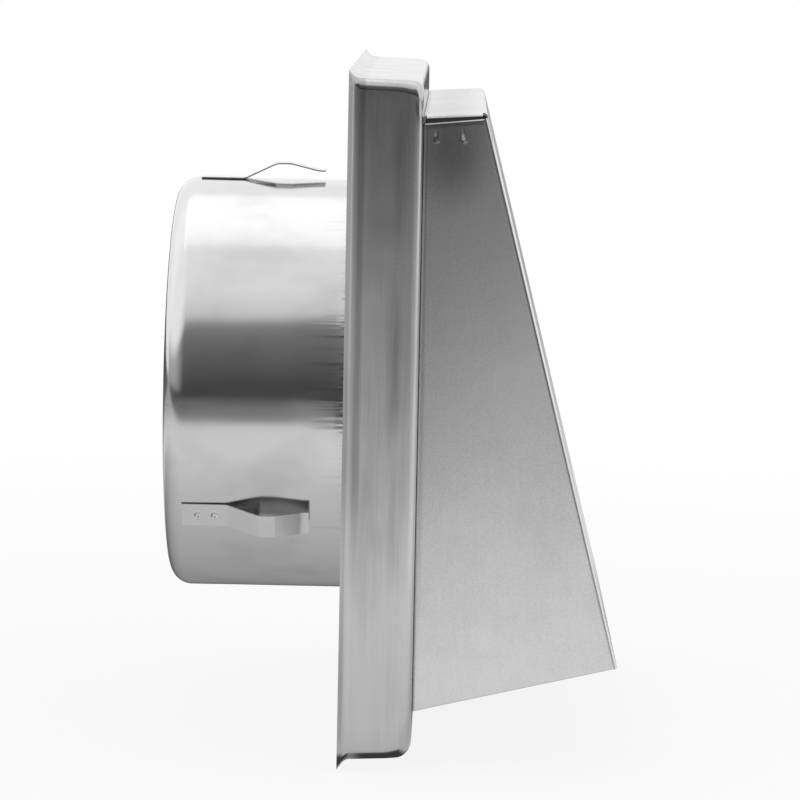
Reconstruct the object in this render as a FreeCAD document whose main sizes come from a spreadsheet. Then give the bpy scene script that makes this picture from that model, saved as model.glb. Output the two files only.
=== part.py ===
import FreeCAD, Part
import math
import os
import re
import Sketcher
from FreeCAD import Placement, Rotation, Vector

# Dryer vent cap: a drawn square pan that covers the hole in the wall, a sloping cowl folded
# from one sheet, a round collar that plugs into the duct and is gripped there by three leaf
# springs, and a draught flap that hangs on a rod inside the cowl.
# Frame: the origin is on the duct's axis in the plane of the wall, +Z is up, -Y points out
# of the wall and +Y into the duct. Lengths are in millimetres and angles in degrees.

SIZES = {
    "pan_margin": (5.55, "pan beyond the cowl's side panels, to its front edges"),
    "pan_depth": (16.5, "wall plane to the front face of the pan"),
    "pan_draft": (2.0, "lean of the pan's drawn walls"),
    "pan_thickness": (0.5, "sheet thickness of the pan"),
    "pan_front_radius": (3.5, "outer radius between front plate and walls"),
    "pan_corner_radius": (1.5, "outer radius between neighbouring walls"),
    "rim_corner_radius": (0.75, "what is left of the corner radius at the trimmed rim"),
    "flare_radius": (2.2, "outer radius of the rim's outward sweep"),
    "flare_angle": (50.0, "turn of the rim away from the wall's line"),
    "flare_lip": (1.4, "straight lip after the sweep, up to the trimmed edge"),
    "collar_diameter": (98.0, "outside diameter of the collar"),
    "collar_reach": (42.4, "how far the collar stands behind the wall plane"),
    "collar_thickness": (0.5, "sheet thickness of the collar"),
    "collar_flange_width": (6.0, "width of the collar's turned-out flange"),
    "collar_bend_radius": (1.0, "inside radius between flange and tube, cut as a bevel"),
    "collar_lip_radius": (5.0, "outer radius of the free end, drawn inwards by a quarter turn"),
    "hood_thickness": (0.5, "sheet thickness of the cowl"),
    "hood_bend_radius": (1.1, "outer bend radius of the cowl's folds"),
    "hood_top_rise": (0.85, "top panel's front fold above its edge at the pan"),
    "hood_top_reach": (14.0, "front fold of the top panel, out from the pan's face"),
    "hood_front_cover": (2.6, "front panel's lower edge below the flap's"),
    "hood_low_reach": (46.15, "front panel's lower edge, out from the pan's face"),
    "hood_side_cover": (13.55, "side panels' lower edge at the pan, below the flap's"),
    "hood_nick_depth": (0.8, "corner cut at the lower front of each side panel"),
    "seam_back_drop": (2.35, "side panel's top edge below the top face, at the pan"),
    "seam_front_drop": (1.35, "side panel's top edge below the top face, in front"),
    "relief_diameter": (1.0, "bend relief hole where the three folds meet"),
    "tab_drop": (9.0, "depth of the top panel's turned-down tabs and rear flange"),
    "hood_flange_width": (8.0, "width of the cowl's rear flanges"),
    "weld_drop": (5.75, "spot welds of the tabs, below the top face"),
    "weld_first_offset": (3.6, "first spot weld, out from the pan's face"),
    "weld_second_offset": (9.1, "second spot weld, out from the pan's face"),
    "weld_width": (1.2, "diameter of a spot weld's dimple"),
    "weld_depth": (0.12, "depth of a spot weld's dimple"),
    "clip_width": (6.4, "width of a leaf spring"),
    "clip_thickness": (0.3, "thickness of a leaf spring"),
    "clip_inset": (0.1, "spring's welded end, in from where the collar's lip starts"),
    "clip_foot_length": (10.4, "length of the welded foot"),
    "clip_rise_length": (7.6, "length of the rising leaf"),
    "clip_rise_height": (3.7, "height of the crest over the foot"),
    "clip_crest_length": (3.4, "length of the crest"),
    "clip_crest_radius": (4.0, "bend radius at both ends of the crest, under the leaf"),
    "clip_fall_length": (6.7, "length of the falling leaf"),
    "clip_fall_height": (1.6, "drop of the falling leaf"),
    "clip_tip_length": (1.4, "length of the spring's free tip"),
    "clip_bend_radius": (0.8, "bend radius where the foot ends and the tip starts, over the leaf"),
    "clip_weld_first_offset": (3.7, "first spot weld, from the spring's welded end"),
    "clip_weld_second_offset": (7.6, "second spot weld, from the spring's welded end"),
    "hole_clearance": (1.0, "hole in the front plate, larger than the bore in radius"),
    "neck_height": (3.3, "drawn neck round the hole, the flap's seat, out from the plate"),
    "neck_bend_radius": (1.0, "radius at the foot of the neck, cut as a bevel"),
    "flap_side_cover": (2.0, "flap beyond the neck's rim at each side"),
    "flap_low_cover": (2.5, "flap below the neck's rim"),
    "flap_thickness": (0.4, "sheet thickness of the flap"),
    "flap_fold_depth": (2.5, "depth of the flap's folded edges"),
    "flap_bend_radius": (0.8, "outer radius of the flap's folded edges"),
    "flap_gap": (0.3, "flap to its seat when it hangs shut"),
    "rod_gap": (2.35, "gap between the neck's rim and the flap's curl above it"),
    "rod_diameter": (2.4, "diameter of the hinge rod"),
    "rod_clearance": (0.05, "radial clearance round the rod"),
    "rod_head_diameter": (3.2, "diameter of the rod's upset heads"),
    "rod_head_length": (0.8, "length of an upset head"),
    "rod_head_bevel": (0.4, "bevel of an upset head"),
    "curl_gap": (1.0, "open gap where the flap's curl ends"),
    "ear_clearance": (0.6, "side play between the flap and a bracket's ear"),
    "bracket_thickness": (0.8, "sheet thickness of a hinge bracket"),
    "bracket_reach": (4.8, "ear of a bracket, out from the pan's face"),
    "bracket_foot_width": (7.0, "width of a bracket's foot, ear included"),
    "bracket_height": (10.0, "height of a bracket's ear"),
    "bracket_foot_height": (5.0, "height of a bracket's foot"),
    "bracket_above_rod": (3.0, "ear above the rod's axis"),
    "bracket_side_gap": (2.7, "bracket's foot to the cowl's rear flange beside it"),
    "bracket_top_gap": (2.15, "bracket's top to the cowl's rear tab above it"),
}

doc = FreeCAD.newDocument("DryerVentCap")
sheet = doc.addObject("Spreadsheet::Sheet", "Sizes")
for row, (alias, (number, meaning)) in enumerate(SIZES.items(), start=1):
    sheet.set(f"A{row}", meaning)
    sheet.set(f"B{row}", str(number))
    sheet.setAlias(f"B{row}", alias)
doc.recompute()

SIZE_WORD = re.compile(r"\b(" + "|".join(SIZES) + r")\b")


def cells(formula):
    """Points every size in a formula at its cell of the sheet."""
    return SIZE_WORD.sub(r"Sizes.\1", formula)


def amount(formula):
    """Works out a formula now, for first guesses and for picking edges."""
    return float(sheet.evalExpression(cells(formula)))


def bind(target, path, formula):
    target.setExpression(path, cells(formula))


# Places that several pieces share, as formulas on the sheet's sizes
FACE = "(-pan_depth)"
COLLAR_RADIUS = "(collar_diameter / 2)"
BORE_RADIUS = f"({COLLAR_RADIUS} - collar_thickness)"
HOLE_RADIUS = f"({BORE_RADIUS} + hole_clearance)"
NECK_RADIUS = f"({HOLE_RADIUS} + pan_thickness)"
FLAP_WIDTH = f"(2 * ({NECK_RADIUS} + flap_side_cover))"
FLAP_LOW = f"({NECK_RADIUS} + flap_low_cover)"
FLAP_BACK = f"({FACE} - neck_height - flap_gap)"
FLAP_FRONT = f"({FLAP_BACK} - flap_thickness)"
KNUCKLE_HOLE = "(rod_diameter / 2 + rod_clearance)"
KNUCKLE_RADIUS = f"({KNUCKLE_HOLE} + flap_thickness)"
ROD_Y = f"({FLAP_FRONT} + {KNUCKLE_RADIUS})"
ROD_HEIGHT = f"({NECK_RADIUS} + rod_gap + {KNUCKLE_RADIUS})"
EAR_INSIDE = f"({FLAP_WIDTH} / 2 + ear_clearance)"
BRACKET_TOP = f"({ROD_HEIGHT} + bracket_above_rod)"
HOOD_HALF = f"({EAR_INSIDE} + bracket_foot_width + bracket_side_gap + hood_flange_width)"
HOOD_WIDTH = f"(2 * {HOOD_HALF})"
COWL_TAB_LOW = f"({BRACKET_TOP} + bracket_top_gap)"
HOOD_TOP_BACK = f"({COWL_TAB_LOW} + tab_drop)"
HOOD_TOP_FRONT = f"({HOOD_TOP_BACK} + hood_top_rise)"
HOOD_LOW_FRONT = f"({FLAP_LOW} + hood_front_cover)"
HOOD_LOW_BACK = f"({FLAP_LOW} + hood_side_cover)"
PAN_SIDE = f"({HOOD_WIDTH} + 2 * pan_margin)"
FLARE_DEPTH = "(flare_radius * (sin(flare_angle) - sin(pan_draft)) + flare_lip * cos(flare_angle))"
WALL_HALF = f"({PAN_SIDE} / 2 + (pan_depth - {FLARE_DEPTH}) * tan(pan_draft))"
DIMPLE_RADIUS = "(((weld_width / 2) ^ 2 + weld_depth ^ 2) / (2 * weld_depth))"

LIP_START = "(collar_reach - collar_lip_radius)"

# Legs of a bevel that stands for a bend, as a share of the radius of the bend
BEVEL_SHARE = "(2 - sqrt(2))"

# Cones that stand for the round of the collar's lip
LIP_CONES = 3


def origin_plane(body, role):
    return next(item for item in body.Origin.OriginFeatures if item.Role == role)


def new_body(name):
    body = doc.addObject("PartDesign::Body", name)
    body.Label = name
    return body


def new_sketch(body, name, role, offset="0"):
    """A sketch on one of the body's own origin planes, moved along the plane's normal."""
    sketch = body.newObject("Sketcher::SketchObject", name)
    sketch.AttachmentSupport = [(origin_plane(body, role), "")]
    sketch.MapMode = "FlatFace"
    if offset != "0":
        bind(sketch, ".AttachmentOffset.Base.z", offset)
    return sketch


def place_point(sketch, edge, end, across, up):
    """Holds one point of a sketch at two formulas, measured from the sketch's origin."""
    for kind, formula in (("DistanceX", across), ("DistanceY", up)):
        index = sketch.addConstraint(Sketcher.Constraint(kind, -1, 1, edge, end, amount(formula)))
        bind(sketch, f"Constraints[{index}]", formula)


def draw_outline(sketch, corners):
    """Adds a closed outline of straight edges through corners given as pairs of formulas."""
    first = sketch.GeometryCount
    points = [Vector(amount(across), amount(up), 0) for across, up in corners]
    count = len(points)
    for number in range(count):
        edge = Part.LineSegment(points[number], points[(number + 1) % count])
        sketch.addGeometry(edge, False)
    for number in range(count):
        following = first + (number + 1) % count
        sketch.addConstraint(Sketcher.Constraint("Coincident", first + number, 2, following, 1))
    for number, (across, up) in enumerate(corners):
        place_point(sketch, first + number, 1, across, up)


def draw_rectangle(sketch, left, right, low, high):
    draw_outline(sketch, [(left, low), (right, low), (right, high), (left, high)])


def draw_circle(sketch, across, up, radius):
    centre = Vector(amount(across), amount(up), 0)
    circle = sketch.addGeometry(Part.Circle(centre, Vector(0, 0, 1), amount(radius)), False)
    place_point(sketch, circle, 3, across, up)
    index = sketch.addConstraint(Sketcher.Constraint("Radius", circle, amount(radius)))
    bind(sketch, f"Constraints[{index}]", radius)


def grow(body, kind, sketch, length, midplane=False, reverse=False):
    """Pads or pockets a sketch by a formula's length."""
    feature = body.newObject(f"PartDesign::{kind}", f"{sketch.Name}{kind}")
    feature.Profile = sketch
    bind(feature, "Length", length)
    feature.Midplane = midplane
    feature.Reversed = reverse
    doc.recompute()
    return feature


def edge_numbers(shape, chosen):
    """Numbers of the edges whose two ends and middle all satisfy a test."""
    numbers = []
    for number, edge in enumerate(shape.Edges, start=1):
        middle = edge.valueAt((edge.FirstParameter + edge.LastParameter) / 2)
        points = [vertex.Point for vertex in edge.Vertexes] + [middle]
        if all(chosen(point) for point in points):
            numbers.append(number)
    return numbers


def dress_edges(body, name, kind, size_name, size, chosen):
    base = body.Tip
    names = [f"Edge{number}" for number in edge_numbers(base.Shape, chosen)]
    feature = body.newObject(f"PartDesign::{kind}", name)
    feature.Base = (base, names)
    bind(feature, size_name, size)
    doc.recompute()


def round_edges(body, name, radius, chosen):
    """Fillets the edges of the body's latest feature that satisfy a test."""
    dress_edges(body, name, "Fillet", "Radius", radius, chosen)


def bevel_edges(body, name, size, chosen):
    """Chamfers the edges of the body's latest feature that satisfy a test."""
    dress_edges(body, name, "Chamfer", "Size", size, chosen)


def dimple(body, name, across, along, up):
    """The shallow round pit of a spot weld; the place is that of the pit's ball."""
    ball = body.newObject("PartDesign::SubtractiveSphere", name)
    bind(ball, "Radius", DIMPLE_RADIUS)
    for axis, formula in (("x", across), ("y", along), ("z", up)):
        bind(ball, f".Placement.Base.{axis}", formula)
    doc.recompute()


def near(value, target, slack=0.02):
    return abs(value - target) < slack


def on_circle(depth, radius):
    """A test for points of a circle round the duct's axis."""
    depth_value = amount(depth)
    radius_value = amount(radius)

    def chosen(point):
        return near(point.y, depth_value) and near(math.hypot(point.x, point.z), radius_value)

    return chosen


# Drawn pan

def pan_profile(sketch, inset, front):
    """Half section of the pan, from the duct's axis out to its drafted wall and flared rim.

    inset is how far the section lies inside the pan's outer surface: nothing for the outside
    and the sheet's thickness for the inside."""
    bend = f"(flare_radius + {inset})"
    centre_out = f"({WALL_HALF} + flare_radius * cos(pan_draft))"
    centre_back = f"(-{FLARE_DEPTH} - flare_radius * sin(pan_draft))"
    wall_out = f"({centre_out} - {bend} * cos(pan_draft))"
    wall_back = f"({centre_back} + {bend} * sin(pan_draft))"
    turned_out = f"({centre_out} - {bend} * cos(flare_angle))"
    turned_back = f"({centre_back} + {bend} * sin(flare_angle))"
    front_out = f"({wall_out} - ({wall_back} + {front}) * tan(pan_draft))"
    rim_out = f"({turned_out} - {turned_back} * tan(flare_angle))"
    corners = [("0", f"-{front}"), (front_out, f"-{front}"), (wall_out, wall_back)]
    corners += [(turned_out, turned_back), (rim_out, "0"), ("0", "0")]
    points = [Vector(amount(across), amount(along), 0) for across, along in corners]
    centre = Vector(amount(centre_out), amount(centre_back), 0)
    circle = Part.Circle(centre, Vector(0, 0, 1), amount(bend))
    first_angle = math.pi - math.radians(amount("flare_angle"))
    last_angle = math.pi - math.radians(amount("pan_draft"))
    for number in (0, 1, 3, 4, 5):
        sketch.addGeometry(Part.LineSegment(points[number], points[(number + 1) % 6]), False)
    arc = sketch.addGeometry(Part.ArcOfCircle(circle, first_angle, last_angle), False)
    joints = [(0, 2, 1, 1), (1, 2, arc, 2), (arc, 1, 2, 1), (2, 2, 3, 1), (3, 2, 4, 1), (4, 2, 0, 1)]
    for joint in joints:
        sketch.addConstraint(Sketcher.Constraint("Coincident", *joint))
    place_point(sketch, arc, 3, centre_out, centre_back)
    index = sketch.addConstraint(Sketcher.Constraint("Radius", arc, amount(bend)))
    bind(sketch, f"Constraints[{index}]", bend)
    for edge, place in ((0, 0), (1, 1), (3, 4), (4, 5)):
        place_point(sketch, edge, 1, *corners[place])
    for end, formula in ((2, wall_back), (1, turned_back)):
        level = Sketcher.Constraint("DistanceY", -1, 1, arc, end, amount(formula))
        index = sketch.addConstraint(level)
        bind(sketch, f"Constraints[{index}]", formula)


def pan_edge_radii(shape, inset, front):
    """Edge numbers and radii at both ends: all round the front plate, and down each corner."""
    front_level = -amount(front)
    flare_level = -amount(FLARE_DEPTH)
    front_radius = amount(f"pan_front_radius - {inset}")
    wall_radius = amount(f"pan_corner_radius - {inset}")
    rim_radius = amount(f"rim_corner_radius - {inset}")

    def corner_radius(level):
        share = max(0, 1 - level / flare_level)
        return wall_radius + (rim_radius - wall_radius) * share

    radii = []
    for number in edge_numbers(shape, lambda point: near(point.y, front_level)):
        radii.append((number, front_radius, front_radius))
    for number in edge_numbers(shape, lambda point: near(abs(point.x), abs(point.z))):
        edge = shape.Edges[number - 1]
        levels = [edge.valueAt(place).y for place in (edge.FirstParameter, edge.LastParameter)]
        radii.append((number, *map(corner_radius, levels)))
    return radii


def pan_solid(name, inset, front):
    """A solid with the pan's outer or inner surface: what two crossed lengths have in common."""
    lengths = []
    for direction, turn in (("Upright", 0), ("Across", 90)):
        body = new_body(f"{name}{direction}")
        section = new_sketch(body, f"{name}{direction}Section", "XY_Plane")
        pan_profile(section, inset, front)
        half = grow(body, "Pad", section, f"2 * {PAN_SIDE}", midplane=True)
        whole = body.newObject("PartDesign::Mirrored", f"{name}{direction}Whole")
        whole.Originals = [half]
        whole.MirrorPlane = (origin_plane(body, "YZ_Plane"), [""])
        body.Tip = whole
        body.Placement = Placement(Vector(0, 0, 0), Rotation(Vector(0, 1, 0), turn))
        lengths.append(body)
    crossed = doc.addObject("Part::MultiCommon", f"{name}Crossed")
    crossed.Shapes = lengths
    doc.recompute()
    rounded = doc.addObject("Part::Fillet", name)
    rounded.Base = crossed
    rounded.Edges = pan_edge_radii(crossed.Shape, inset, front)
    return rounded


def round_bar(name, radius, start, length):
    """A cylinder on the duct's axis that starts out from the wall plane and points outwards."""
    bar = doc.addObject("Part::Cylinder", name)
    bind(bar, "Radius", radius)
    bind(bar, "Height", length)
    bar.Placement = Placement(Vector(0, 0, 0), Rotation(Vector(1, 0, 0), 90))
    bind(bar, ".Placement.Base.y", f"-({start})")
    return bar


def base_plate():
    """Outside solid less inside solid, with the duct's hole drawn into a short neck."""
    hollow = doc.addObject("Part::Cut", "PanShell")
    hollow.Base = pan_solid("PanOutside", "0", "pan_depth")
    hollow.Tool = pan_solid("PanInside", "pan_thickness", "(pan_depth - pan_thickness)")
    neck = round_bar("NeckBlank", NECK_RADIUS, "pan_depth - pan_thickness / 2",
                     "neck_height + pan_thickness / 2")
    hole = round_bar("DuctHole", HOLE_RADIUS, "0", "2 * pan_depth")
    necked = doc.addObject("Part::MultiFuse", "PanNecked")
    necked.Shapes = [hollow, neck]
    pierced = doc.addObject("Part::Cut", "PanPierced")
    pierced.Base = necked
    pierced.Tool = hole
    doc.recompute()
    pan = doc.addObject("Part::Chamfer", "base_plate")
    pan.Base = pierced
    foot = edge_numbers(pierced.Shape, on_circle(FACE, NECK_RADIUS))
    mouth = edge_numbers(pierced.Shape, on_circle(f"{FACE} + pan_thickness", HOLE_RADIUS))
    foot_size = amount(f"{BEVEL_SHARE} * neck_bend_radius")
    mouth_size = amount(f"{BEVEL_SHARE} * (neck_bend_radius + pan_thickness)")
    bevels = [(number, foot_size, foot_size) for number in foot]
    bevels += [(number, mouth_size, mouth_size) for number in mouth]
    pan.Edges = bevels
    pan.Label = "base_plate"
    doc.recompute()
    return pan


# Collar

def lip_point(radius, turn):
    """A point of the lip's round, at an angle from where it leaves the tube."""
    centre = f"({COLLAR_RADIUS} - collar_lip_radius)"
    return f"({LIP_START} + {radius} * sin({turn}))", f"({centre} + {radius} * cos({turn}))"


def duct_collar():
    """Tube with a turned-out flange behind the front plate and a lip drawn in at its free end."""
    body = new_body("duct_collar")
    seat = f"({FACE} + pan_thickness)"
    flange_back = f"({seat} + collar_thickness)"
    flange_radius = f"({COLLAR_RADIUS} + collar_flange_width)"
    turns = [90 * number / LIP_CONES for number in range(LIP_CONES + 1)]
    outside = [lip_point("collar_lip_radius", turn) for turn in turns]
    inside = [lip_point("(collar_lip_radius - collar_thickness)", turn) for turn in reversed(turns)]
    section = new_sketch(body, "CollarSection", "YZ_Plane")
    draw_outline(section, [
        (seat, BORE_RADIUS),
        (seat, flange_radius),
        (flange_back, flange_radius),
        (flange_back, COLLAR_RADIUS),
        *outside,
        *inside,
    ])
    tube = body.newObject("PartDesign::Revolution", "CollarTube")
    tube.Profile = section
    tube.ReferenceAxis = (section, ["H_Axis"])
    tube.Angle = 360
    doc.recompute()

    bevel_edges(
        body, "CollarBend", f"{BEVEL_SHARE} * collar_bend_radius",
        on_circle(flange_back, COLLAR_RADIUS),
    )
    bevel_edges(
        body, "CollarMouth", f"{BEVEL_SHARE} * (collar_bend_radius + collar_thickness)",
        on_circle(seat, BORE_RADIUS),
    )
    return body


# Leaf springs

def spring_clip(name, turn):
    """A leaf welded to the collar beside its lip; its crest presses on the duct."""
    body = new_body(name)
    welded_end = f"({LIP_START} - clip_inset)"
    foot_end = f"({welded_end} - clip_foot_length)"
    crest_start = f"({foot_end} - clip_rise_length)"
    crest_end = f"({crest_start} - clip_crest_length)"
    fall_end = f"({crest_end} - clip_fall_length)"
    tip_end = f"({fall_end} - clip_tip_length)"
    low = COLLAR_RADIUS
    crest = f"({low} + clip_rise_height)"
    fallen = f"({crest} - clip_fall_height)"
    under = [(welded_end, low), (foot_end, low), (crest_start, crest)]
    under += [(crest_end, crest), (fall_end, fallen), (tip_end, fallen)]
    upper = [(along, f"({height} + clip_thickness)") for along, height in reversed(under)]
    section = new_sketch(body, f"{name}Section", "YZ_Plane")
    draw_outline(section, under + upper)
    grow(body, "Pad", section, "clip_width", midplane=True)
    places = [(amount(along), amount(height)) for along, height in under[1:-1]]
    bends = (places[0], places[3])
    crests = (places[1], places[2])
    thickness = amount("clip_thickness")

    def at_bend(chosen_bends, rise):
        def chosen(point):
            return any(near(point.y, y) and near(point.z, z + rise) for y, z in chosen_bends)

        return chosen

    round_edges(body, f"{name}UnderBends", "clip_bend_radius + clip_thickness", at_bend(bends, 0))
    round_edges(body, f"{name}UpperBends", "clip_bend_radius", at_bend(bends, thickness))
    round_edges(body, f"{name}UnderCrest", "clip_crest_radius", at_bend(crests, 0))
    round_edges(body, f"{name}UpperCrest", "clip_crest_radius + clip_thickness",
                at_bend(crests, thickness))
    for number, distance in enumerate(("clip_weld_first_offset", "clip_weld_second_offset")):
        dimple(body, f"{name}Weld{number}", "0", f"{welded_end} - {distance}",
               f"{low} + clip_thickness + {DIMPLE_RADIUS} - weld_depth")
    body.Placement = Placement(Vector(0, 0, 0), Rotation(Vector(0, 1, 0), turn))
    return body


# Cowl

COWL_SLOPE = f"((hood_low_reach - hood_top_reach) / ({HOOD_TOP_FRONT} + {HOOD_LOW_FRONT}))"
COWL_INSET = f"(hood_thickness * sqrt(1 + {COWL_SLOPE} ^ 2))"
COWL_FRONT_TOP = f"({HOOD_TOP_FRONT} - seam_front_drop)"


def front_at(height, depth="0"):
    """Where the cowl's front face, or a face that far behind it, crosses a height."""
    return f"({FACE} - hood_top_reach - ({HOOD_TOP_FRONT} - ({height})) * {COWL_SLOPE} + {depth})"


def behind_front(point):
    """How far a point lies behind the plane of the cowl's front face."""
    lean = math.atan(amount(COWL_SLOPE))
    out = amount(front_at(HOOD_TOP_FRONT)) - point.y
    drop = amount(HOOD_TOP_FRONT) - point.z
    return drop * math.sin(lean) - out * math.cos(lean)


def cowl_top():
    """The top panel with its turned-down tabs and rear flange."""
    body = new_body("CowlTop")
    half = f"({HOOD_HALF} - hood_thickness)"
    cap = new_sketch(body, "CowlCap", "YZ_Plane")
    draw_outline(cap, [
        (FACE, HOOD_TOP_BACK),
        (front_at(HOOD_TOP_FRONT), HOOD_TOP_FRONT),
        (front_at(COWL_TAB_LOW), COWL_TAB_LOW),
        (FACE, COWL_TAB_LOW),
    ])
    grow(body, "Pad", cap, f"2 * {half}", midplane=True)
    side_x = amount(half)
    front_y = amount(front_at(HOOD_TOP_FRONT))

    def on_top(point):
        share = (amount(FACE) - point.y) / amount("hood_top_reach")
        level = amount(HOOD_TOP_BACK) + share * amount(f"{HOOD_TOP_FRONT} - {HOOD_TOP_BACK}")
        return near(point.z, level)

    round_edges(
        body, "CowlTopFolds", "hood_bend_radius",
        lambda point: on_top(point) and (near(abs(point.x), side_x) or near(point.y, front_y)),
    )
    under = new_sketch(body, "CowlUnderCap", "YZ_Plane")
    back = f"{FACE} - hood_thickness"
    high = f"{HOOD_TOP_FRONT} - hood_thickness"
    low = f"{COWL_TAB_LOW} - hood_thickness"
    draw_outline(under, [
        (back, f"{HOOD_TOP_BACK} - hood_thickness"),
        (front_at(high, COWL_INSET), high),
        (front_at(low, COWL_INSET), low),
        (back, low),
    ])
    grow(body, "Pocket", under, f"2 * ({half} - hood_thickness)", midplane=True)
    return body


def cowl_wrap():
    """The front panel and the two side panels folded back from it."""
    body = new_body("hood")
    low_slope = f"(({HOOD_LOW_BACK} - {HOOD_LOW_FRONT}) / hood_low_reach)"
    corner = front_at(f"-{HOOD_LOW_FRONT}")
    nick_top = f"(hood_nick_depth / 2 - {HOOD_LOW_FRONT})"
    nick_low = f"(-{HOOD_LOW_FRONT} - hood_nick_depth * {low_slope})"
    side = new_sketch(body, "CowlSide", "YZ_Plane")
    draw_outline(side, [
        (FACE, f"{HOOD_TOP_BACK} - seam_back_drop"),
        (front_at(COWL_FRONT_TOP), COWL_FRONT_TOP),
        (front_at(nick_top), nick_top),
        (f"{corner} + hood_nick_depth", nick_low),
        (FACE, f"-{HOOD_LOW_BACK}"),
    ])
    grow(body, "Pad", side, HOOD_WIDTH, midplane=True)
    half = amount(HOOD_HALF)
    gauge = amount("hood_thickness")
    round_edges(
        body, "CowlFrontFolds", "hood_bend_radius",
        lambda point: near(abs(point.x), half) and near(behind_front(point), 0),
    )
    inside = new_sketch(body, "CowlInside", "YZ_Plane")
    beyond = "pan_depth"
    above = f"({HOOD_TOP_FRONT} + pan_depth)"
    below = f"(-{HOOD_LOW_BACK} - pan_depth)"
    draw_outline(inside, [
        (beyond, above),
        (front_at(above, COWL_INSET), above),
        (front_at(below, COWL_INSET), below),
        (beyond, below),
    ])
    grow(body, "Pocket", inside, f"{HOOD_WIDTH} - 2 * hood_thickness", midplane=True)
    round_edges(
        body, "CowlInnerFolds", "hood_bend_radius - hood_thickness",
        lambda point: near(abs(point.x), half - gauge) and near(behind_front(point), gauge),
    )
    return body


def hood():
    """The cowl, one folded sheet: front, sides and top, with tabs and rear flanges."""
    top = cowl_top()
    body = cowl_wrap()
    joined = body.newObject("PartDesign::Boolean", "CowlFold")
    joined.Type = "Fuse"
    joined.Group = [top]
    doc.recompute()
    for sign, side_name in ((1, "Right"), (-1, "Left")):
        flange = new_sketch(body, f"CowlFlange{side_name}", "XZ_Plane", "pan_depth")
        draw_rectangle(
            flange, f"{sign} * ({HOOD_HALF} - hood_flange_width)",
            f"{sign} * ({HOOD_HALF} - hood_thickness / 2)",
            f"hood_thickness - {HOOD_LOW_BACK}", COWL_TAB_LOW,
        )
        grow(body, "Pad", flange, "hood_thickness")
        relief = new_sketch(body, f"CowlRelief{side_name}", "YZ_Plane", f"{sign} * {HOOD_HALF}")
        draw_circle(relief, f"{front_at(COWL_FRONT_TOP)} + relief_diameter / 2", COWL_FRONT_TOP,
                    "relief_diameter / 2")
        grow(body, "Pocket", relief, "hood_thickness", reverse=sign < 0)
        for number, distance in enumerate(("weld_first_offset", "weld_second_offset")):
            centre_x = f"{sign} * ({HOOD_HALF} + {DIMPLE_RADIUS} - weld_depth)"
            dimple(body, f"Cowl{side_name}Weld{number}", centre_x, f"{FACE} - {distance}",
                   f"{HOOD_TOP_BACK} - weld_drop")
    return body


# Draught flap and its hinge

def flap():
    """A shallow tray of thin sheet, curled round the rod at its top edge."""
    body = new_body("flap")
    half = f"({FLAP_WIDTH} / 2)"
    plate = new_sketch(body, "FlapPlate", "XZ_Plane", f"-{FLAP_BACK}")
    draw_rectangle(plate, f"-{half}", half, f"-{FLAP_LOW}", ROD_HEIGHT)
    grow(body, "Pad", plate, "flap_fold_depth")
    back = amount(FLAP_BACK)
    low = -amount(FLAP_LOW)
    side = amount(half)
    round_edges(
        body, "FlapFolds", "flap_bend_radius",
        lambda point: near(point.y, back) and (near(abs(point.x), side) or near(point.z, low)),
    )
    tray = new_sketch(body, "FlapTray", "XZ_Plane", f"-{FLAP_BACK} + flap_fold_depth")
    draw_rectangle(tray, f"-{half} + flap_thickness", f"{half} - flap_thickness",
                   f"-{FLAP_LOW} + flap_thickness", f"{ROD_HEIGHT} + flap_fold_depth")
    grow(body, "Pocket", tray, "flap_fold_depth - flap_thickness")
    shoulders = new_sketch(body, "FlapShoulders", "YZ_Plane")
    draw_rectangle(shoulders, f"{FLAP_BACK} - 2 * flap_fold_depth", FLAP_FRONT,
                   f"{ROD_HEIGHT} - {KNUCKLE_RADIUS} - curl_gap", f"{ROD_HEIGHT} + flap_fold_depth")
    grow(body, "Pocket", shoulders, f"2 * {FLAP_WIDTH}", midplane=True)
    curl = new_sketch(body, "FlapCurl", "YZ_Plane")
    draw_circle(curl, ROD_Y, ROD_HEIGHT, KNUCKLE_RADIUS)
    grow(body, "Pad", curl, FLAP_WIDTH, midplane=True)
    bore = new_sketch(body, "FlapCurlBore", "YZ_Plane")
    draw_circle(bore, ROD_Y, ROD_HEIGHT, KNUCKLE_HOLE)
    grow(body, "Pocket", bore, f"2 * {FLAP_WIDTH}", midplane=True)
    slit = new_sketch(body, "FlapCurlSlit", "YZ_Plane")
    draw_rectangle(slit, FLAP_BACK, f"{FLAP_BACK} + curl_gap",
                   f"{ROD_HEIGHT} - 2 * {KNUCKLE_RADIUS}", f"{ROD_HEIGHT} - rod_diameter / 4")
    grow(body, "Pocket", slit, f"2 * {FLAP_WIDTH}", midplane=True)
    return body


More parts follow.
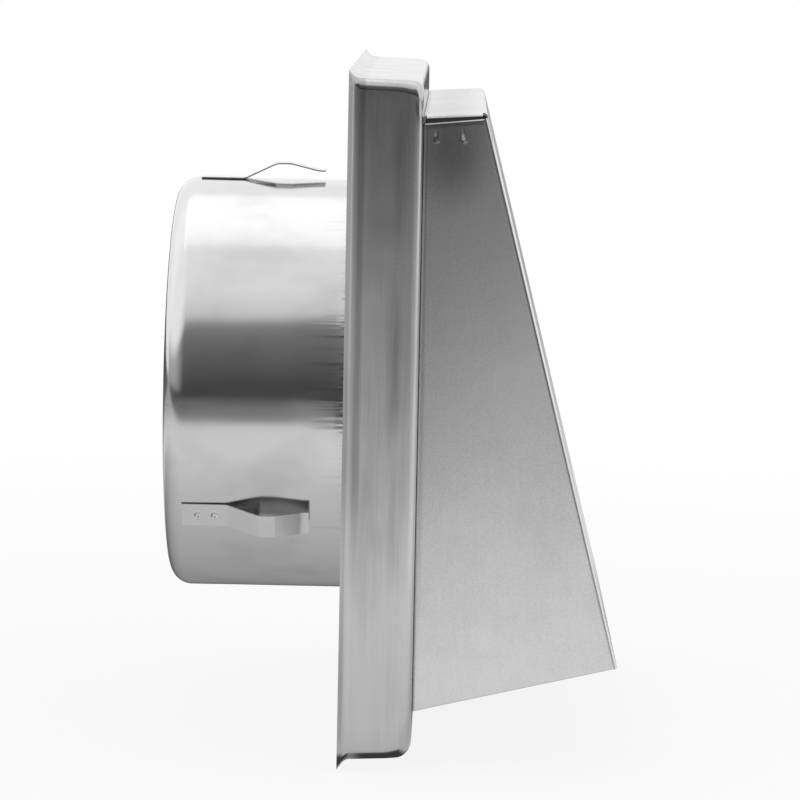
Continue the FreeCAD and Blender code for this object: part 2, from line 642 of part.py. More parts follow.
def hinge_rod():
    """Rod with an upset head outside each bracket."""
    body = new_body("hinge_rod")
    neck = f"({EAR_INSIDE} + bracket_thickness + rod_clearance)"
    end = f"({neck} + rod_head_length)"
    section = new_sketch(body, "RodSection", "XZ_Plane")
    draw_outline(section, [
        (f"-{end}", "0"),
        (end, "0"),
        (end, "rod_head_diameter / 2"),
        (neck, "rod_head_diameter / 2"),
        (neck, "rod_diameter / 2"),
        (f"-{neck}", "rod_diameter / 2"),
        (f"-{neck}", "rod_head_diameter / 2"),
        (f"-{end}", "rod_head_diameter / 2"),
    ])
    rod = body.newObject("PartDesign::Revolution", "Rod")
    rod.Profile = section
    rod.ReferenceAxis = (section, ["H_Axis"])
    rod.Angle = 360
    doc.recompute()
    end_x = amount(end)
    head = amount("rod_head_diameter / 2")
    bevel_edges(
        body, "RodHeadBevels", "rod_head_bevel",
        lambda point: near(abs(point.x), end_x) and near(math.hypot(point.y, point.z), head),
    )
    bind(body, ".Placement.Base.y", ROD_Y)
    bind(body, ".Placement.Base.z", ROD_HEIGHT)
    return body


def hinge_bracket(name, sign):
    """A foot on the front plate with an ear that carries one end of the rod."""
    body = new_body(name)
    inside = f"({sign} * {EAR_INSIDE})"
    outside = f"({sign} * ({EAR_INSIDE} + bracket_thickness))"
    foot_end = f"({sign} * ({EAR_INSIDE} + bracket_foot_width))"
    low = f"({BRACKET_TOP} - bracket_height)"
    section = new_sketch(body, f"{name}Section", "XY_Plane", low)
    draw_outline(section, [
        (inside, FACE),
        (foot_end, FACE),
        (foot_end, f"{FACE} - bracket_thickness"),
        (outside, f"{FACE} - bracket_thickness"),
        (outside, f"{FACE} - bracket_reach"),
        (inside, f"{FACE} - bracket_reach"),
    ])
    grow(body, "Pad", section, "bracket_height")
    notch = new_sketch(body, f"{name}Notch", "XZ_Plane", "pan_depth")
    draw_rectangle(notch, outside, f"({sign} * ({EAR_INSIDE} + 2 * bracket_foot_width))",
                   f"{low} + bracket_foot_height", f"{BRACKET_TOP} + bracket_thickness")
    grow(body, "Pocket", notch, "bracket_reach", reverse=True)
    inner_x = amount(inside)
    front = amount(f"{FACE} - bracket_reach")
    top_z = amount(BRACKET_TOP)
    low_z = amount(low)
    outer_x = amount(outside)
    round_edges(
        body, f"{name}EarCorners", "bracket_reach / 3",
        lambda point: near(point.y, front) and (near(point.z, top_z) or near(point.z, low_z))
        and min(inner_x, outer_x) - 0.02 < point.x < max(inner_x, outer_x) + 0.02,
    )
    hole = new_sketch(body, f"{name}Hole", "YZ_Plane")
    draw_circle(hole, ROD_Y, ROD_HEIGHT, KNUCKLE_HOLE)
    grow(body, "Pocket", hole, f"4 * {FLAP_WIDTH}", midplane=True)
    return body


pieces = [base_plate(), duct_collar(), hood(), flap(), hinge_rod()]
for clip_name, clip_turn in (("top", 0), ("left", -120), ("right", 120)):
    pieces.append(spring_clip(f"spring_clip_{clip_name}", clip_turn))
for bracket_name, side_sign in (("left", -1), ("right", 1)):
    pieces.append(hinge_bracket(f"hinge_bracket_{bracket_name}", side_sign))

doc.recompute()
for item in doc.Objects:
    if "Invalid" in item.State or "Error" in item.State:
        raise RuntimeError(f"{item.Label} failed to rebuild")
for piece in pieces:
    if piece.Shape.isNull() or not piece.Shape.isValid():
        raise RuntimeError(f"{piece.Label} has no valid shape")
    if len(piece.Shape.Solids) != 1:
        raise RuntimeError(f"{piece.Label} is not one solid")

os.makedirs("parts", exist_ok=True)
for piece in pieces:
    piece.Shape.exportStep(f"parts/{piece.Label}.step")
    box = piece.Shape.BoundBox
    print(
        f"{piece.Label}: {piece.Shape.Volume:.1f} mm3, "
        f"x {box.XMin:.1f} to {box.XMax:.1f}, y {box.YMin:.1f} to {box.YMax:.1f}, "
        f"z {box.ZMin:.1f} to {box.ZMax:.1f}"
    )
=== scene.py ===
from math import atan, atan2, copysign, cos, exp, hypot, pi, radians, sin, sqrt, tan

import bmesh
import bpy
from bpy.props import FloatProperty, FloatVectorProperty, PointerProperty
from bpy.types import Operator, Panel, PropertyGroup
from mathutils import Euler, Matrix, Vector, noise


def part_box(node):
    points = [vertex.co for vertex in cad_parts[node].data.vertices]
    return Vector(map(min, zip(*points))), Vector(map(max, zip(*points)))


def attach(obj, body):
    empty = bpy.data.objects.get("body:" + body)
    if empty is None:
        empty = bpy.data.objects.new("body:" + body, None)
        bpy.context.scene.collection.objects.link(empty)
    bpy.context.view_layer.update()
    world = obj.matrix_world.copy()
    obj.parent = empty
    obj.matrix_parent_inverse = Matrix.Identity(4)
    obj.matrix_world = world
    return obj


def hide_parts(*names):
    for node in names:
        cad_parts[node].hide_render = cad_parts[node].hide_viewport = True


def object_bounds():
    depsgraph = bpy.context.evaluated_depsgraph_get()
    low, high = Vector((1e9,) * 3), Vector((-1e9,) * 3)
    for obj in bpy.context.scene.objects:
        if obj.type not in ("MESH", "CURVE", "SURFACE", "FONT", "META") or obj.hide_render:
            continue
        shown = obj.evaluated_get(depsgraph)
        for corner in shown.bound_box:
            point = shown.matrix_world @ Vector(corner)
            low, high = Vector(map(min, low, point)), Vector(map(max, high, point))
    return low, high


bl_info = {
    "name": "Dryer Vent Cap",
    "version": (1, 0, 0),
    "blender": (4, 5, 0),
    "location": "View3D > Sidebar > Vent Cap",
    "description": "Builds the sheet-steel skins and finishes of a dryer vent cap",
    "category": "Object",
}

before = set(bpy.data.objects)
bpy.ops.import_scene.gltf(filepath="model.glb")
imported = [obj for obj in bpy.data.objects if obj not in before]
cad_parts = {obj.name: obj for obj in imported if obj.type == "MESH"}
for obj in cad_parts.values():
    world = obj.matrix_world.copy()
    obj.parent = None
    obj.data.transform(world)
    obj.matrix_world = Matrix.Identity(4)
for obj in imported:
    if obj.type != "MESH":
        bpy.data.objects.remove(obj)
cad_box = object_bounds()

pan_low, pan_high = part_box("base_plate")
collar_low, collar_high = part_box("duct_collar")
flap_low, flap_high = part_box("flap")

MM = 0.001
PAN_DEPTH = 16.5 * MM
QUARTER = pi / 2
BEND_STEPS = 8
SHARP_ANGLE = radians(32)
LARGE_FACE_WEIGHT = 60
JOIN_DISTANCE = 0.002 * MM
NEAR = 0.01 * MM
LEAST_CORNER = 0.2 * MM
WELD_STEP = 0.12 * MM


# Sizes and colours

def metres(name, description, default):
    """A length."""
    return FloatProperty(name=name, description=description, default=default, unit="LENGTH")


def mm(name, description, default):
    """A length whose default is given in millimetres."""
    return metres(name, description, default * MM)


def degrees(name, description, default):
    """An angle whose default is given in degrees."""
    angle = radians(default)
    return FloatProperty(name=name, description=description, default=angle, unit="ROTATION")


def fraction(name, description, default):
    """A number from zero to one."""
    return FloatProperty(name=name, description=description, default=default, min=0, max=1)


def paint(name, description, default):
    """A colour."""
    return FloatVectorProperty(
        name=name, description=description, default=default, subtype="COLOR", min=0, max=1)


class VentPanSizes(PropertyGroup):
    """The drawn square pan and the neck round its hole."""

    rim_half: metres("Rim half width", "Duct's axis to the trimmed rim", pan_high.x)
    depth: metres("Depth", "Wall plane to the front face", PAN_DEPTH)
    draft: degrees("Draft", "Lean of the drawn walls", 2)
    sheet: mm("Sheet", "Thickness of the pan's sheet", 0.5)
    top_fold: mm("Top fold", "Outer radius between front plate and top wall", 2.2)
    side_fold: mm("Side fold", "Outer radius between front plate and side walls", 1.9)
    low_fold: mm("Low fold", "Outer radius between front plate and lower wall", 3.5)
    top_ball: mm("Top ball", "Outer radius of the folds where they meet in a top corner", 2.3)
    low_ball: mm("Low ball", "Outer radius of the folds where they meet in a low corner", 3.5)
    ball_reach: mm("Ball reach", "How far the rounder corner reaches along the folds", 5.5)
    corner_radius: mm("Corner radius", "Outer radius between neighbouring walls", 2.4)
    plate_corner_radius: mm("Plate corner radius", "Corner radius round the flat front", 3.4)
    rim_corner_radius: mm("Rim corner radius", "Corner radius left at the trimmed rim", 0.75)
    flare_radius: mm("Flare radius", "Outer radius of the rim's outward sweep", 2.2)
    flare_angle: degrees("Flare angle", "Turn of the rim away from the wall's line", 50)
    flare_lip: mm("Flare lip", "Straight lip after the sweep", 1.4)
    hole_radius: mm("Hole radius", "Radius of the duct's hole", 49.5)
    neck_height: metres("Neck height", "Neck round the hole", -pan_low.y - PAN_DEPTH)
    neck_bend: mm("Neck bend", "Radius at the foot of the neck", 1)
    wave: mm("Wave", "Height of the slow waves that drawing leaves in the walls", 0.05)


class VentCollarSizes(PropertyGroup):
    """The round collar that goes into the duct."""

    radius: mm("Radius", "Outside radius of the tube", 49)
    reach: metres("Reach", "Wall plane to the free end", collar_high.y)
    seat: metres("Seat", "Flange's face, where it is welded behind the front plate", collar_low.y)
    sheet: mm("Sheet", "Thickness of the collar's sheet", 0.5)
    flange_radius: metres("Flange radius", "Outside radius of the flange", collar_high.x)
    bend: mm("Bend", "Inside radius between flange and tube", 1)
    lip_radius: mm("Lip radius", "Outer radius of the free end, drawn in by a quarter turn", 5)
    dent: mm("Dent", "Depth of the shallow dent beside the pan", 0.2)
    out_of_round: mm("Out of round", "How much the tube's radius wanders", 0.05)


class VentHoodSizes(PropertyGroup):
    """The folded cowl."""

    half: mm("Half width", "Middle to the outside of a side panel", 70.3)
    sheet: mm("Sheet", "Thickness of the cowl's sheet", 0.5)
    fold_radius: mm("Fold radius", "Outer radius of the folds", 1.1)
    top_back: mm("Top height at the pan", "Height of the top panel at the pan", 68.15)
    top_front: mm("Top height in front", "Height of the top panel at its front fold", 69)
    top_reach: mm("Top reach", "Front fold of the top, out from the pan's face", 14)
    low_front: mm("Low front height", "Height of the front panel's lower corner", -55.1)
    low_reach: mm("Low reach", "Front panel's lower corner, out from the pan's face", 46.15)
    low_back: mm("Low back height", "Height of the side panels' lower edge at the pan", -66.05)
    nick: mm("Nick", "Corner cut at the lower front of each side panel", 0.8)
    seam_back: mm("Seam at the pan", "Side panel's top edge below the top, at the pan", 1.75)
    seam_front: mm("Seam in front", "Side panel's top edge below the top, in front", 1.1)
    edge_round: mm("Edge round", "Rounding that shearing leaves on the outer edges", 0.4)
    tab_drop: mm("Tab drop", "Depth of the turned-down tabs", 9)
    flange: mm("Flange", "Width of the rear flanges", 8)
    weld_drop: mm("Weld drop", "Spot welds below the top panel's back edge", 5.3)
    weld_first: mm("First weld", "First spot weld, out from the pan's face", 2.9)
    weld_second: mm("Second weld", "Second spot weld, out from the pan's face", 9.1)
    weld_radius: mm("Weld radius", "Radius of a spot weld's dimple", 0.52)
    weld_depth: mm("Weld depth", "Depth of a spot weld's dimple", 0.17)


class VentClipSizes(PropertyGroup):
    """A leaf spring on the collar."""

    width: mm("Width", "Width of the leaf", 6.4)
    sheet: mm("Sheet", "Thickness of the leaf", 0.3)
    inset: mm("Inset", "Welded end, in from where the collar's lip starts", 0.1)
    foot: mm("Foot", "Length of the welded foot", 10.4)
    rise_run: mm("Rise length", "Length of the rising leaf", 7.6)
    rise: mm("Rise", "Height of the crest over the foot", 3.7)
    crest: mm("Crest", "Length of the crest", 3.4)
    fall_run: mm("Fall length", "Length of the falling leaf", 6.7)
    fall: mm("Fall", "Drop of the falling leaf", 1.6)
    tip: mm("Tip", "Length of the free tip", 1.4)
    bend: mm("Bend", "Bend radius where the foot ends", 2.8)
    tip_bend: mm("Tip bend", "Bend radius where the free tip starts", 8)
    crest_bend: mm("Crest bend", "Bend radius at both ends of the crest", 4.3)
    weld_radius: mm("Weld radius", "Radius of a spot weld's dimple", 0.8)
    weld_depth: mm("Weld depth", "Depth of a spot weld's dimple", 0.4)
    weld_first: mm("First weld", "First spot weld, in from the welded end", 3.7)
    weld_second: mm("Second weld", "Second spot weld, in from the welded end", 7.6)


class VentFlapSizes(PropertyGroup):
    """The draught flap."""

    half: metres("Half width", "Middle to the flap's side edge", flap_high.x)
    low: metres("Low edge", "Height of the flap's lower edge", flap_low.z)
    back: mm("Back", "Place of the flap's back face", -20.1)
    sheet: mm("Sheet", "Thickness of the flap's sheet", 0.4)
    fold: mm("Fold", "Depth of the folded edges", 2.5)
    fold_radius: mm("Fold radius", "Outer radius of the folded edges", 0.8)
    rod_height: mm("Rod height", "Height of the hinge rod", 54)
    curl_radius: mm("Curl radius", "Outer radius of the curl round the rod", 1.65)


class VentFinish(PropertyGroup):
    """Colours and polish of the steel."""

    pan_colour: paint("Pan steel", "Reflected colour of the drawn pan", (0.59, 0.59, 0.59))
    collar_colour: paint("Collar steel", "Reflected colour of the collar", (0.76, 0.76, 0.76))
    hood_colour: paint("Cowl steel", "Reflected colour of the cowl", (0.82, 0.82, 0.82))
    spring_colour: paint("Spring steel", "Reflected colour of the leaves", (0.88, 0.88, 0.88))
    hinge_colour: paint("Hinge steel", "Reflected colour of rod and brackets", (0.66, 0.66, 0.65))
    pan_roughness: fraction("Pan roughness", "Roughness of the drawn pan", 0.12)
    collar_roughness: fraction("Collar roughness", "Roughness of the polished collar", 0.15)
    hood_roughness: fraction("Cowl roughness", "Roughness of the satin cowl", 0.23)
    spring_roughness: fraction("Spring roughness", "Roughness of the leaf springs", 0.24)
    flap_roughness: fraction("Flap roughness", "Roughness of the draught flap", 0.24)
    hinge_roughness: fraction("Hinge roughness", "Roughness of rod and brackets", 0.3)


class VentStage(PropertyGroup):
    """Camera and lamp."""

    camera_place: FloatVectorProperty(
        name="Camera", description="Place of the camera",
        default=(-0.9443, -0.0241, 0.1092), subtype="TRANSLATION", unit="LENGTH")
    camera_yaw: degrees("Yaw", "Camera's turn to its left, from straight across", 0.76)
    camera_pitch: degrees("Pitch", "How far the camera looks down", 6.82)
    camera_roll: degrees("Roll", "Camera's roll about its line of sight", -1.14)
    lens: FloatProperty(
        name="Lens", description="Focal length in millimetres on a 36 mm sensor",
        default=177.5, min=1)
    lamp_height: metres("Lamp height", "Soft box above the part", 0.85)
    lamp_side: metres("Lamp side", "Side of the square soft box", 0.86)
    lamp_shift: metres("Lamp shift", "Soft box's near edge, away from the camera", -0.065)
    lamp_glow: FloatProperty(
        name="Lamp glow", description="Brightness of the soft box as metal shows it",
        default=0.2, min=0)


# Mesh tools

def spread(start, end, count):
    """count + 1 even steps from start to end."""
    return [start + (end - start) * number / count for number in range(count + 1)]


def smooth(value, low, high):
    """Zero below low, one above high and a smooth climb between."""
    share = min(1, max(0, (value - low) / (high - low)))
    return share * share * (3 - 2 * share)


def arc(centre, radius, start, end, count):
    """Points of an arc in a plane, as pairs; the angles count from the first axis."""
    return [
        (centre[0] + radius * cos(angle), centre[1] + radius * sin(angle))
        for angle in spread(start, end, count)
    ]


def line(start, end, count):
    """Points of a straight stretch in a plane, as pairs."""
    return list(zip(spread(start[0], end[0], count), spread(start[1], end[1], count)))


def sweep(path, across):
    """Rows of points: a path out and up, drawn along the part's width."""
    return [[Vector((x, y, z)) for x in across] for y, z in path]


def chain(*stretches):
    """Joins stretches end to start, without the doubled points."""
    joined = list(stretches[0])
    for stretch in stretches[1:]:
        joined.extend(stretch[1:])
    return joined


def rounded_path(corners, radii, count):
    """A bent line through corners, with an arc of its own radius at each inner corner."""
    points = [corners[0]]
    for before, corner, after, radius in zip(corners, corners[1:], corners[2:], radii):
        arriving = (Vector(corner) - Vector(before)).normalized()
        turn = arriving.angle_signed((Vector(after) - Vector(corner)).normalized())
        start = Vector(corner) - arriving * (radius * tan(abs(turn) / 2))
        to_centre = Vector((-arriving.y, arriving.x)) * copysign(radius, -turn)
        for angle in spread(0, -turn, count):
            points.append(start + to_centre - Matrix.Rotation(angle, 2) @ to_centre)
    points.append(corners[-1])
    return points


def refined(values, centres, reach, step):
    """Sorted values within their own range, finely spaced around centres."""
    kept = [value for value in values if all(abs(value - centre) > reach for centre in centres)]
    for centre in centres:
        kept.extend(spread(centre - reach, centre + reach, round(2 * reach / step)))
    return sorted(value for value in kept if values[0] <= value <= values[-1])


def grid_mesh(name, rows, closed=False):
    """A mesh through rows of points; closed also joins last and first, both ways."""
    columns = len(rows[0])
    faces = []
    for row in range(len(rows) - (not closed)):
        here, there = row * columns, (row + 1) % len(rows) * columns
        for column in range(columns - (not closed)):
            beside = (column + 1) % columns
            faces.append((here + column, here + beside, there + beside, there + column))
    mesh = bpy.data.meshes.new(name)
    mesh.from_pydata([point for row in rows for point in row], [], faces)
    return mesh


def new_object(name, data):
    thing = bpy.data.objects.new(name, data)
    bpy.context.scene.collection.objects.link(thing)
    return thing


def mesh_piece(name, meshes):
    """One object from several meshes, with touching vertices joined."""
    model = bmesh.new()
    for mesh in meshes:
        model.from_mesh(mesh)
        bpy.data.meshes.remove(mesh)
    bmesh.ops.remove_doubles(model, verts=model.verts, dist=JOIN_DISTANCE)
    bmesh.ops.recalc_face_normals(model, faces=model.faces)
    whole = bpy.data.meshes.new(name)
    model.to_mesh(whole)
    model.free()
    return new_object(name, whole)


def apply_modifiers(piece):
    """Replaces a piece's mesh by what its modifiers make of it."""
    graph = bpy.context.evaluated_depsgraph_get()
    mesh = bpy.data.meshes.new_from_object(piece.evaluated_get(graph))
    piece.modifiers.clear()
    bare, piece.data = piece.data, mesh
    bpy.data.meshes.remove(bare)


def settle(piece):
    """Applies a piece's modifiers and shades it smooth between its sharp edges."""
    apply_modifiers(piece)
    piece.data.shade_smooth()
    piece.data.set_sharp_from_angle(angle=SHARP_ANGLE)
    weighted = piece.modifiers.new("Normals", "WEIGHTED_NORMAL")
    weighted.keep_sharp = True
    weighted.weight = LARGE_FACE_WEIGHT
    apply_modifiers(piece)
    piece.data.name = piece.name


def make_sheet(piece, outward, sheet):
    """Turns a surface's normals outward and gives it a sheet's thickness on its inside."""
    outward = Vector(outward)
    largest = max(piece.data.polygons, key=lambda face: face.area * face.normal.dot(outward) ** 2)
    if largest.normal.dot(outward) < 0:
        model = bmesh.new()
        model.from_mesh(piece.data)
        bmesh.ops.reverse_faces(model, faces=model.faces)
        model.to_mesh(piece.data)
        model.free()
    solid = piece.modifiers.new("Sheet", "SOLIDIFY")
    solid.thickness = sheet
    solid.offset = -1
    solid.use_even_offset = True
    solid.use_rim = True
    solid.use_quality_normals = True
    settle(piece)


def hand_over(piece, body, slot, material, *nodes):
    """Gives a finished piece its material and body, and hides the nodes that it stands for; the
    slot is not used.
    """
    piece.data.materials.clear()
    piece.data.materials.append(material)
    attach(piece, body)
    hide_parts(*nodes)


# Shader tools

def operator_pair(operation):
    """Methods for a wire before, and after, the other value."""
    return (
        lambda wire, other: wire.tree.math(operation, wire, other),
        lambda wire, other: wire.tree.math(operation, other, wire),
    )


class Wire:
    """A socket of a node tree. Arithmetic on wires and numbers adds Math nodes."""

    __add__, __radd__ = operator_pair("ADD")
    __sub__, __rsub__ = operator_pair("SUBTRACT")
    __mul__, __rmul__ = operator_pair("MULTIPLY")
    __truediv__, __rtruediv__ = operator_pair("DIVIDE")

    def __init__(self, tree, socket):
        self.tree = tree
        self.socket = socket

    def __abs__(self):
        return self.tree.math("ABSOLUTE", self)

    def other(self, name):
        """Another output of the same node."""
        return Wire(self.tree, self.tree.find(self.socket.node.outputs, name))

    def between(self, low, high, climb="SMOOTHSTEP"):
        """Zero at low, one at high, level beyond and a climb between."""
        settings = {"interpolation_type": climb}
        values = {"Value": self, "From Min": low, "From Max": high}
        return self.tree.node("ShaderNodeMapRange", settings, values)

    def until(self, low, high):
        """One at low, zero at high, level beyond and smooth between."""
        return 1 - self.between(low, high)

    def swing(self, height):
        """A noise around one half, as a swing around zero."""
        return (self - 0.5) * height


class Tree:
    """A node tree that is filled by code."""

    def __init__(self, owner):
        owner.use_nodes = True
        self.owner = owner
        self.nodes, self.links = owner.node_tree.nodes, owner.node_tree.links
        self.nodes.clear()

    def node(self, kind, settings=None, values=None, output=0):
        """Adds a node with its settings first, then its sockets' values or links."""
        node = self.nodes.new(kind)
        for name, setting in (settings or {}).items():
            setattr(node, name, setting)
        for name, value in (values or {}).items():
            socket = self.find(node.inputs, name)
            if isinstance(value, Wire):
                self.links.new(value.socket, socket)
            else:
                socket.default_value = value
        return Wire(self, self.find(node.outputs, output)) if len(node.outputs) else None

    @staticmethod
    def find(sockets, name):
        """A socket by its identifier, or else by its name or number."""
        for socket in sockets:
            if socket.identifier == name:
                return socket
        return sockets[name]

    def math(self, operation, *values):
        return self.node("ShaderNodeMath", {"operation": operation}, dict(enumerate(values)))

    def larger(self, first, second):
        return self.math("MAXIMUM", first, second)

    def vector_math(self, operation, *values, output=0):
        settings = {"operation": operation}
        return self.node("ShaderNodeVectorMath", settings, dict(enumerate(values)), output)

    def place(self):
        """The point that is shaded, in metres in the part's own frame."""
        return self.node("ShaderNodeTexCoord", output="Object")

    def split(self, vector):
        """The three numbers of a vector."""
        first = self.node("ShaderNodeSeparateXYZ", None, {0: vector})
        return [Wire(self, socket) for socket in first.socket.node.outputs]

    def join(self, x, y, z):
        return self.node("ShaderNodeCombineXYZ", None, {0: x, 1: y, 2: z})

    def length(self, x, y):
        """Length of a vector in a plane."""
        return self.vector_math("LENGTH", self.join(x, y, 0.0), output="Value")

    def stretch(self, vector, x, y, z):
        """A place scaled along each axis, for grain with a direction."""
        return self.vector_math("MULTIPLY", vector, (x, y, z))

    def grain(self, vector, scale, detail=3.0):
        values = {"Vector": vector, "Scale": scale, "Detail": detail, "Roughness": 0.6}
        return self.node("ShaderNodeTexNoise", None, values)

    def tint(self, colour, dark, share):
        """A colour that turns darker by a factor where share is one."""
        shaded = (*(part * dark for part in colour), 1)
        values = {"Factor_Float": share, "A_Color": (*colour, 1), "B_Color": shaded}
        return self.node("ShaderNodeMix", {"data_type": "RGBA"}, values, "Result_Color")

    def bump(self, height, distance, strength=1.0, under=None):
        values = {"Height": height, "Distance": distance, "Strength": strength}
        if under is not None:
            values["Normal"] = under
        return self.node("ShaderNodeBump", None, values)

    def end(self, shader):
        """Ends a material's tree and gives the material."""
        self.node("ShaderNodeOutputMaterial", None, {"Surface": shader})
        return self.owner

    def steel(self, colour, roughness, normal):
        """Ends a material's tree in bare steel and gives the material."""
        values = {"Base Color": colour, "Metallic": 1.0, "Roughness": roughness, "Normal": normal}
        return self.end(self.node("ShaderNodeBsdfPrincipled", None, values))


def steel_tree(name):
    """The tree of a new material and the place that is shaded."""
    tree = Tree(bpy.data.materials.new(name))
    return tree, tree.place()


# Finishes

def pan_steel(finish, pan):
    """Drawn bright steel: faint upright draw lines, smudges, a line from the die, and painted
    shade on the rim's upper part.
    """
    tree, place = steel_tree("pan_steel")
    x, y, z = tree.split(place)
    lines = tree.grain(tree.stretch(place, 1, 1, 0.06), 900)
    smudges = tree.grain(tree.stretch(place, 1, 1, 0.45), 60, 2.0)
    fine = tree.grain(place, 2600, 2.0)
    roughness = finish.pan_roughness + smudges.swing(0.12) + lines.swing(0.06)
    line_place, line_width = pan.rim_half - 7.9 * MM, 0.16 * MM
    die_line = (abs(abs(x) - line_place) / line_width).until(0.4, 1)
    die_line = die_line * y.until(-5 * MM, -2 * MM) * 0.85
    # Painted shade: the rim's flare is darkened in colour, fading out towards the bottom.
    painted_rim_shade = y.between(-4.2 * MM, -3.2 * MM) * z.between(-35 * MM, -5 * MM) * 0.55
    # Random smudges, plus the painted shade on the rim.
    mottle = (smudges + lines * 0.5 - 0.25).between(0.3, 0.8) * 0.3 + painted_rim_shade
    colour = tree.tint(finish.pan_colour, 0.5, tree.larger(mottle, die_line))
    normal = tree.bump(fine, 0.006 * MM, 0.5, tree.bump(lines, 0.012 * MM, 0.5))
    return tree.steel(colour, roughness, normal)


def collar_steel(finish, collar):
    """Polished steel with creases round the collar near the pan, and painted shade along the
    creases.
    """
    tree, place = steel_tree("collar_steel")
    x, y, z = tree.split(place)
    unrolled = tree.join(tree.math("ARCTAN2", z, x) * collar.radius, y, 0.0)
    ticks = tree.grain(tree.stretch(unrolled, 1, 0.03, 1), 900, 1.0)
    long_creases = tree.grain(tree.stretch(unrolled, 1, 0.04, 1), 330, 2.0)
    streaks = tree.grain(tree.stretch(unrolled, 1, 0.09, 1), 260)
    smudges = tree.grain(tree.stretch(unrolled, 1, 0.7, 1), 45)
    fine = tree.grain(place, 3000, 2.0)
    roughness = finish.collar_roughness + smudges.swing(0.14) + streaks.swing(0.06)
    flank = 0.25 + z.between(-11 * MM, -5 * MM) * z.until(23 * MM, 31 * MM) * 0.75
    inside = collar.radius - collar.sheet
    outside = tree.length(x, z).between(inside + 0.04 * MM, inside + 0.14 * MM)
    creased = flank * outside * y.between(-7 * MM, -3 * MM)
    ticks_here = y.until(-0.5 * MM, 3 * MM) * creased
    creases_here = y.until(0, 11 * MM) * creased
    # Painted shade: the colour is darkened along the creases and ticks, most on the flanks.
    painted_crease_shade = long_creases.between(0.54, 0.66) * creases_here * 0.7
    painted_crease_shade = painted_crease_shade + ticks.between(0.5, 0.6) * ticks_here
    mottle = smudges.between(0.45, 0.75) * 0.25
    colour = tree.tint(finish.collar_colour, 0.35, tree.larger(mottle, painted_crease_shade))
    fine_bump = tree.bump(fine, 0.004 * MM, 0.4, tree.bump(streaks, 0.01 * MM, 0.35))
    crease_bump = tree.bump(long_creases * creases_here, 0.12 * MM, 1.0, fine_bump)
    normal = tree.bump(ticks * ticks_here, 0.14 * MM, 1.0, crease_bump)
    return tree.steel(colour, roughness, normal)


def hood_steel(finish, hood, pan):
    """Satin sheet with painted shade in the lap seams under the top panel, a painted shade ring
    round each weld and a painted dark patch round and below the welds.
    """
    tree, place = steel_tree("cowl_steel")
    x, y, z = tree.split(place)
    fine = tree.grain(place, 2300, 2.0)
    rolled = tree.grain(tree.stretch(place, 1, 1, 0.08), 1300)
    smudges = tree.grain(place, 40)
    roughness = finish.hood_roughness + smudges.swing(0.1) + rolled.swing(0.06)
    tab = hood.half - hood.sheet
    # Painted shade on the tab in the lap seam under the top panel.
    painted_seam_shade = abs(x).between(tab - 0.12 * MM, tab - 0.05 * MM)
    painted_seam_shade = painted_seam_shade * abs(x).until(tab + 0.03 * MM, tab + 0.07 * MM)
    painted_seam_shade = painted_seam_shade * z.between(hood.top_back - 6 * MM, hood.top_back - 5 * MM) * 0.9
    along = y + (pan.depth + (hood.weld_first + hood.weld_second) / 2)
    rise = z - (hood.top_back - hood.weld_drop)
    from_weld = tree.length(abs(abs(along) - (hood.weld_second - hood.weld_first) / 2), rise)
    # Painted shade: a dark ring round each weld's dimple.
    rim = abs(from_weld - hood.weld_radius) / (0.25 * MM)
    # Painted shade: a dark patch round and below the welds, where the dented sheet reflects
    # darker.
    painted_weld_shade = tree.length(along, rise * 0.7 + 1.5 * MM).until(1 * MM, 12 * MM) * 0.55
    # Random smudges, plus the painted dark patch at the welds.
    mottle = (smudges * 0.5 + fine * 0.5).between(0.35, 0.7) * 0.12 + painted_weld_shade
    painted_seam_and_ring_shade = tree.larger(painted_seam_shade, rim.until(0.2, 1) * 0.8)
    colour = tree.tint(finish.hood_colour, 0.16, tree.larger(mottle, painted_seam_and_ring_shade))
    normal = tree.bump(fine, 0.012 * MM, 0.4, tree.bump(rolled, 0.006 * MM, 0.5))
    return tree.steel(colour, roughness, normal)


def spring_steel(finish):
    """Bright leaves, with painted shade on the side that faces the collar."""
    tree, place = steel_tree("spring_steel")
    x, _, z = tree.split(place)
    facing = tree.node("ShaderNodeNewGeometry", output="True Normal")
    outward = tree.vector_math("DOT_PRODUCT", facing, tree.join(x, 0.0, z), output="Value")
    smudges = tree.grain(place, 220)
    # Painted shade on the side that faces the collar, together with random smudges.
    shade = tree.larger((0 - outward).between(0, 10 * MM), smudges * 0.2)
    colour = tree.tint(finish.spring_colour, 0.6, shade)
    normal = tree.bump(tree.grain(place, 1800, 2.0), 0.004 * MM, 0.5)
    return tree.steel(colour, finish.spring_roughness + smudges.swing(0.1), normal)


def plain_steel(name, colour, roughness):
    """Thin bright sheet or wire, evenly worn."""
    tree, place = steel_tree(name)
    smudges = tree.grain(place, 45)
    tint = tree.tint(colour, 0.88, smudges.between(0.35, 0.75))
    normal = tree.bump(tree.grain(place, 1500, 2.0), 0.008 * MM, 0.5)
    return tree.steel(tint, roughness + smudges.swing(0.08), normal)


# Drawn pan

SIDE_STEPS = 64
FOLD_STEPS = 14
WALL_STEPS = 16
FLARE_STEPS = 9
PLATE_STEPS = 9
LIP_SHARES = (0.35, 0.7, 1.0)


